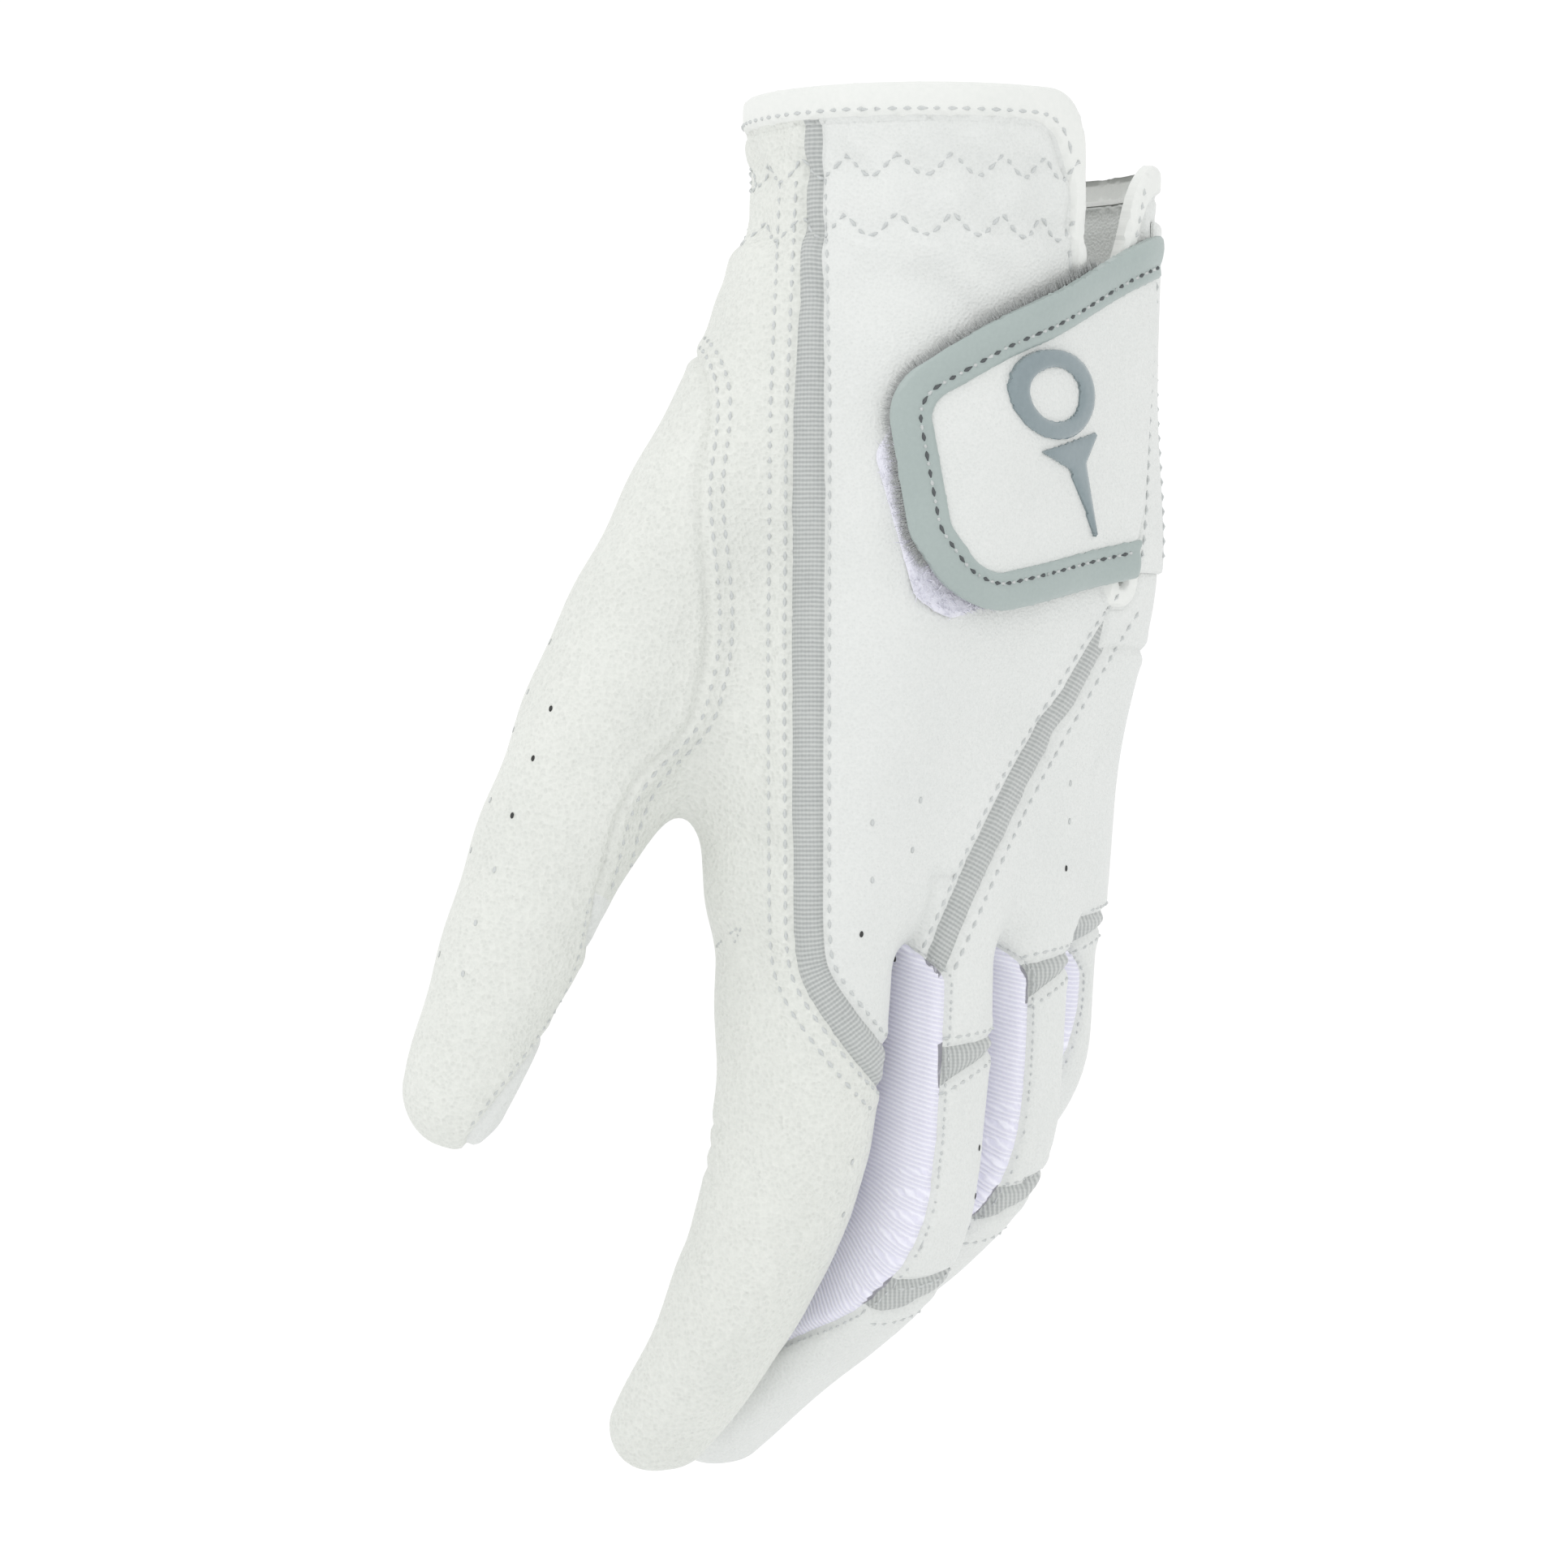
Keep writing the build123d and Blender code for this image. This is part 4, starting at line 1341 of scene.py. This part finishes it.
def build_loose(name, points, faces, material, zone, slot):
    points = np.array(points)
    mesh = bpy.data.meshes.new(name)
    mesh.from_pydata((points * MM).tolist(), [], faces)
    mesh.polygons.foreach_set("use_smooth", np.ones(len(mesh.polygons), bool))
    mesh.attributes.new("rest_mm", "FLOAT_VECTOR", "POINT").data.foreach_set(
        "vector", points.astype(np.float32).ravel())
    mesh.materials.append(material)
    piece = bpy.data.objects.new(name, mesh)
    bpy.context.scene.collection.objects.link(piece)
    return finish_piece(piece, zone, slot)


ZIGZAG_RISE, ZIGZAG_PERIOD, WRIST_RADIUS = 1.5, 6.9, 27.0


def zigzag(turns):
    """A zigzag between -1 and 1 with rounded tops and sharp feet."""
    return 1 - 2 * np.abs(np.cos(math.pi * turns)) ** 1.3


def ring_hits(surface, z, turns, centre=(0.0, 0.0)):
    """Hits all round the wrist or across a stretch of it; z may be a function of the turn."""
    hits = []
    for turn in turns:
        direction = np.array([math.sin(turn), -math.cos(turn), 0.0])
        start = np.array([*centre, z(turn) if callable(z) else z]) + direction * 80
        hits.append(surface.hit(start, -direction))
    return [hit for hit in hits if hit]


def edge_row(surface, inward):
    """The binding's stitch line: points on the front of the cuff at a distance from its edge."""
    hits = []
    for x in np.arange(-30.5, -2.2, 0.35):
        z = level_of_edge(x, inward)
        hits.append(surface.hit((x, -80, z), (0, 1, 0)))
    return [hit for hit in hits if hit]


def level_of_edge(x, inward):
    zs = np.arange(-30, 0, 0.1)
    p = np.stack([np.full(len(zs), x), np.full(len(zs), -20.0), zs], axis=1)
    distance = edge_distance(p)
    inside = np.flatnonzero(distance > inward)
    return zs[inside[-1]] if len(inside) else -30.0


def sew(surface):
    thread = Thread("stitches", THREAD, "binding")
    for offset in (-0.9, -3.1, 0.9):
        hits = seen_from_side(surface, beside(LONG_RIBBON[1:], offset))
        thread.row([hit for hit in hits if not hit[2].startswith("middle")])
    for offset in (-1.0, 1.1):
        thread.row(seen_from_side(surface, beside(DIAGONAL_RIBBON, offset)))
    seam_line = np.array(THUMB_SEAM)
    zs = np.arange(-111, -33, 0.5)
    us = eased(zs, seam_line[:, 0], seam_line[:, 1])
    for offset in (1.5, 3.2):
        thread.row(seen_from_side(surface, np.stack([us + offset, zs], axis=1)))
    zs = np.arange(-143, -111, 0.5)
    us = eased(zs, seam_line[:, 0], seam_line[:, 1])
    thread.row(seen_from_side(surface, np.stack([us - 1.0, zs], axis=1)), length=1.0, gap=0.7, radius=0.18)
    for centre in ZIGZAG_HEIGHTS:
        level = lambda turn: centre + ZIGZAG_RISE * zigzag(turn * WRIST_RADIUS / ZIGZAG_PERIOD)
        thread.row(ring_hits(surface, level, np.arange(-2.5, -0.08, 0.012)), length=1.45, gap=0.5)
    thread.row(edge_row(surface, BINDING_WIDTH - 1.0))
    thread.row(ring_hits(surface, -(BINDING_WIDTH - 1.0), np.arange(-1.27, -4.4, -0.012)))
    hits = [surface.hit((right_slit_edge(z) + 2.0, -80, z), (0, 1, 0)) for z in np.arange(-67, -9, 0.4)]
    thread.row([hit for hit in hits if hit])
    sew_fingers(surface, thread)
    thread.on_knit = True
    for finger in FINGERS:
        for side in KNITS[finger.name]:
            thread.row(knit_edges(surface, finger, side), length=0.7, gap=0.5, radius=0.16)
    thread.finish()


def right_slit_edge(z):
    return float(np.interp(z, [-68, -23, -9], [16.2, 7.4, 12.0]))


def sew_fingers(surface, thread):
    """Rows above and below each knuckle band and flex band, and fine rows along the knit sides."""
    for finger in FINGERS[1:]:
        top_left, low_left, top_right, low_right = BANDS[finger.name]
        xs = finger.x + np.arange(-5.5, 6.0, 0.35)
        share = np.clip((xs - finger.x) / 5 + 1, 0, 2) / 2
        for start, end, offset in ((top_left, top_right, 1.2), (low_left, low_right, -1.2)):
            hits = [surface.hit((x, -60, start + (end - start) * s**0.8 + offset), (0, 1, 0))
                    for x, s in zip(xs, share)]
            thread.row([hit for hit in hits if hit], length=1.15, gap=0.6, radius=0.2)
    for name, (start, end) in FLEX_BANDS.items():
        finger = FINGER[name]
        for past in (start - 1.8, end + 0.9):
            i = np.searchsorted(run_of(finger.path), finger.middle_run + past)
            centre, step = finger.path[i, :2], finger.path[i, :2] - finger.path[i - 1, :2]
            step = step / np.linalg.norm(step)
            outward = np.array([step[1], -step[0]])
            hits = []
            for across in np.arange(-5.5, 6.0, 0.35):
                slide = step * (-0.22 * across)
                start_point = centre + slide + outward * 30
                hits.append(surface.hit((finger.x + across, *start_point), (0, *-outward)))
            thread.row([hit for hit in hits if hit], length=1.15, gap=0.6, radius=0.2)


def knit_edges(surface, finger, side):
    """The seam line along the back edge of a finger's knit side."""
    path, runs, hits = finger.path, run_of(finger.path), []
    for run in np.arange(14, finger.length - 10, 0.35):
        i = min(np.searchsorted(runs, run), len(path) - 1)
        step = path[i, :2] - path[i - 1, :2]
        step = step / max(np.linalg.norm(step), 1e-6)
        centre = np.array([np.interp(run, runs, path[:, n]) for n in range(4)])
        share = knit_share(finger, centre[1], run)
        if share < 0.05:
            continue
        turn = math.radians(KNITS[finger.name][side] * share + 5)
        out = np.array([step[1], -step[0]]) * math.sin(turn) * centre[2]
        spoke = np.array([side * math.cos(turn) * centre[3], *out])
        middle = np.array([finger.x, *centre[:2]])
        hits.append(surface.hit(middle + spoke * 1.2, -spoke / np.linalg.norm(spoke)))
    return [hit for hit in hits if hit]


def run_of(path):
    return np.concatenate([[0], np.cumsum(np.linalg.norm(np.diff(path[:, :2], axis=0), axis=1))])


def sew_tab(height):
    """The trim's stitches, dark thread with light thread between, and the rows down the tab's root."""
    dark = Thread("tab_grey_stitches", DARK_THREAD, "grey_trim")
    light = Thread("tab_stitches", THREAD, "binding")
    hits = along_tab(TRIM_STITCH, height)
    dark.row(hits, length=1.55, gap=1.0, radius=0.24)
    light.row(hits, length=0.75, gap=1.8, radius=0.24, start=2.15)
    dark.finish()
    light.finish()
    anchor = Thread("anchor_stitches", THREAD, "binding")
    for x in (TAB_ROOT_X + 1.4, 25.8):
        zs = np.arange(-64.5, -17.5, 0.35)
        point, normal = on_hand(np.full(len(zs), x), zs)
        anchor.row([(p + n * 1.08, n, "hand") for p, n in zip(point, normal)])
    anchor.finish()


def along_tab(inward, height):
    """Places along the tab's outline, at a distance in from its edge and a height over the hand."""
    core = np.array(inset(TAB_OUTLINE, TAB_CORNER))
    ring = []
    for before, corner, after in zip(np.roll(core, 1, axis=0), core, np.roll(core, -1, axis=0)):
        start, end = (outward_turn(a, b) for a, b in ((before, corner), (corner, after)))
        end = start + (end - start + math.pi) % math.tau - math.pi
        for turn in np.linspace(start, end, 8):
            ring.append(corner + (TAB_CORNER - inward) * np.array([math.cos(turn), math.sin(turn)]))
    points = on_hand_seen(dense([*ring, ring[0]], 0.3))
    points = points[points[:, 0] < TAB_ROOT_X - 0.5]
    breaks = np.flatnonzero(np.linalg.norm(np.diff(points, axis=0), axis=1) > 3)
    points = np.roll(points, -(breaks[0] + 1), axis=0) if len(breaks) else points
    normal = gradient(hand_field, points)
    normal /= np.linalg.norm(normal, axis=1)[:, None]
    places = points + normal * (height + settled(points))[:, None]
    return [(place, out, "closure_tab") for place, out in zip(places, normal)]


def outward_turn(a, b):
    """Heading of the outward normal of the side from a to b of the tab's outline."""
    middle = np.mean(TAB_OUTLINE, axis=0)
    out = np.array([b[1] - a[1], a[0] - b[0]])
    out = out if out @ (a - middle) > 0 else -out
    return math.atan2(out[1], out[0])


def on_hand_seen(q):
    """The points of the back of the hand that show at these u, z."""
    p = q[:, :1] * ACROSS + np.column_stack([np.zeros((len(q), 2)), q[:, 1]]) - AWAY * 70
    alive = np.ones(len(q), bool)
    for _ in range(60):
        gap = hand_field(p)
        alive &= (gap < 75) & (p @ AWAY < 25)
        p = p + AWAY * np.where(alive, gap, 0)[:, None] * 0.9
    return p[alive]


def grow_fringe(count=3000):
    """The bristles of the hook pile that stand out past the tab's edge."""
    random = np.random.default_rng(11)
    hits = along_tab(0.0, TAB_LOW + 0.1)
    points, faces = [], []
    for pick in random.integers(2, len(hits) - 2, count):
        place, normal, _ = hits[pick]
        if place[0] > 2 or place[2] < -66:
            continue
        forward = hits[pick + 1][0] - hits[pick - 1][0]
        forward /= np.linalg.norm(forward)
        out = np.cross(forward, normal)
        out *= np.sign(out @ (place - np.array([0.0, -22.0, -46.0])))
        root = place + forward * random.normal() * 0.25 - out * 0.5 - normal * random.uniform(0, 0.7)
        tip = root + out * random.uniform(1.1, 2.3) + forward * random.normal() * 0.3 - normal * 0.3
        start = len(points)
        points += [root - forward * 0.07, root + forward * 0.07, tip]
        faces.append((start, start + 1, start + 2))
    build_loose("hook_fringe", points, faces, HOOK, "closure_tab", "hook_pile")


OPEN_HOLES = [                 # u, z of the ventilation holes
    (-55.6, -85.8), (-58, -92.6), (-60.8, -100.4), (-8.3, -120.5), (-13.1, -116.7), (3.7, -147.2),
    (3.2, -154.1), (16.4, -108.1),
]
CLOSED_HOLES = [
    (-56, -76.5), (-59, -83.4), (-61, -88.6), (-64, -98.3), (-66.7, -105.2), (-63.2, -107.8), (-65.7, -115),
    (-70.9, -119.4), (-67.4, -121.9), (-4.9, -98.3), (-11.6, -101.4), (-6, -105.2), (-11.6, -109.3),
    (-14.3, -148.3), (-15.5, -155.8), (17, -96), (16.9, -101.4),
]


def punch(surface):
    # The open holes get a dark floor of painted shade; the closed dimples get a thread-white floor.
    punch_row(surface, "vent_holes", OPEN_HOLES, HOLE_SHADE)
    punch_row(surface, "vent_dimples", CLOSED_HOLES, THREAD)


def punch_row(surface, name, rows, material):
    """Small oval rings, each with a floor of this material and a raised lip."""
    holes = {}
    for u, z in rows:
        hit = surface.hit(ACROSS * u + np.array([0, 0, z]) - AWAY * 90, AWAY)
        if not hit:
            continue
        place, normal, panel = hit
        zone = TABLE[panel][0]
        side = np.cross(normal, [0, 0, 1.0])
        side /= np.linalg.norm(side)
        up = np.cross(side, normal)
        points, faces = holes.setdefault(zone, ([], []))
        start = len(points)
        for radius, rise in ((0.36, 0.03), (0.34, 0.09), (0.22, 0.05)):
            for corner in range(12):
                turn = math.tau * corner / 12
                spoke = side * math.cos(turn) * 0.8 + up * math.sin(turn) * 1.25
                points.append(place + spoke * radius + normal * rise)
        for ring in (0, 12):
            for corner in range(12):
                a, b = start + ring + corner, start + ring + (corner + 1) % 12
                faces.append((a, b, b + 12, a + 12))
        faces.append(tuple(start + 24 + i for i in range(12)))
        faces.append(tuple(start + i for i in reversed(range(12))))
    for zone, (points, faces) in holes.items():
        build_loose(f"{name}_{zone}", points, faces, material, zone, "leather")


def grow_fuzz(count=3600):
    """Fine bent fibres that stand out round the loop pad's edge and over its surface."""
    random = np.random.default_rng(7)
    inside = rounded_inside(LOOP_OUTLINE, 3)
    x, z = random.uniform(-33, 10, count * 4), random.uniform(-77, -34, count * 4)
    base, normal = on_hand(x, z)
    depth = inside(base)
    keep = (depth > 0.05) & (depth < 3.5)
    base, normal = base[keep][:count], normal[keep][:count]
    side = np.cross(normal, random.normal(size=base.shape))
    side /= np.linalg.norm(side, axis=1)[:, None]
    lean = random.normal(size=base.shape) * 0.5
    points, faces = [], []
    for p, n, s, tilt in zip(base, normal, side, lean):
        start = len(points)
        root, middle = p + n * 0.7, p + n * 1.1 + tilt * 0.6
        end = p + n * 1.2 + tilt * 1.3
        points += [root - s * 0.09, root + s * 0.09, middle + s * 0.07, middle - s * 0.07, end]
        faces += [(start, start + 1, start + 2, start + 3), (start + 3, start + 2, start + 4)]
    build_loose("loop_fuzz", points, faces, LOOP, "hand", "loop_pile")


# ---- camera, light, floor ------------------------------------------------------------------------
def set_stage():
    scene = bpy.context.scene
    target = Vector((-0.0152, 0.0182, -0.0961))
    distance = 0.85
    camera = bpy.data.objects.new("camera", bpy.data.cameras.new("camera"))
    camera.data.lens = 36 * distance / 0.2222
    camera.data.clip_start = 0.05
    scene.collection.objects.link(camera)
    camera.location = target - Vector(AWAY) * distance
    camera.rotation_euler = Vector(AWAY).to_track_quat("-Z", "Y").to_euler()
    scene.camera = camera
    world = bpy.data.worlds.new("studio")
    scene.world = world
    world.use_nodes = True
    world.node_tree.nodes["Background"].inputs["Color"].default_value = (1, 1, 1, 1)
    world.node_tree.nodes["Background"].inputs["Strength"].default_value = 1.06
    add_light("key", (-1.0, 0.1, 0.9), 0.8, 2.6)
    add_light("fill", (-0.2, -1.3, 0.3), 1.2, 0.8)
    scene.view_settings.view_transform = "Standard"
    floor_mesh = bpy.data.meshes.new("floor")
    reach, height = 30.0, -0.235
    floor_mesh.from_pydata(
        [(-reach, -reach, height), (reach, -reach, height), (reach, reach, height), (-reach, reach, height)],
        [], [(0, 1, 2, 3)],
    )
    floor = bpy.data.objects.new("floor", floor_mesh)
    scene.collection.objects.link(floor)
    material = bpy.data.materials.new("floor")
    material.use_nodes = True
    shader = material.node_tree.nodes["Principled BSDF"]
    shader.inputs["Base Color"].default_value = (0.98, 0.98, 0.98, 1)
    shader.inputs["Roughness"].default_value = 0.9
    floor_mesh.materials.append(material)


def add_light(name, place, size, power):
    light = bpy.data.lights.new(name, "AREA")
    light.energy = power
    light.size = size
    lamp = bpy.data.objects.new(name, light)
    bpy.context.scene.collection.objects.link(lamp)
    lamp.location = place
    aim = Vector((0, 0, -0.1)) - Vector(place)
    lamp.rotation_euler = aim.to_track_quat("-Z", "Y").to_euler()


set_stage()
skin, skin_normals = build_skin()
build_closure()
surface = Surface(skin, skin_normals)
sew(surface)
sew_tab(TAB_LOW + TAB_THICK + 0.28)
punch(surface)
grow_fuzz()
grow_fringe()
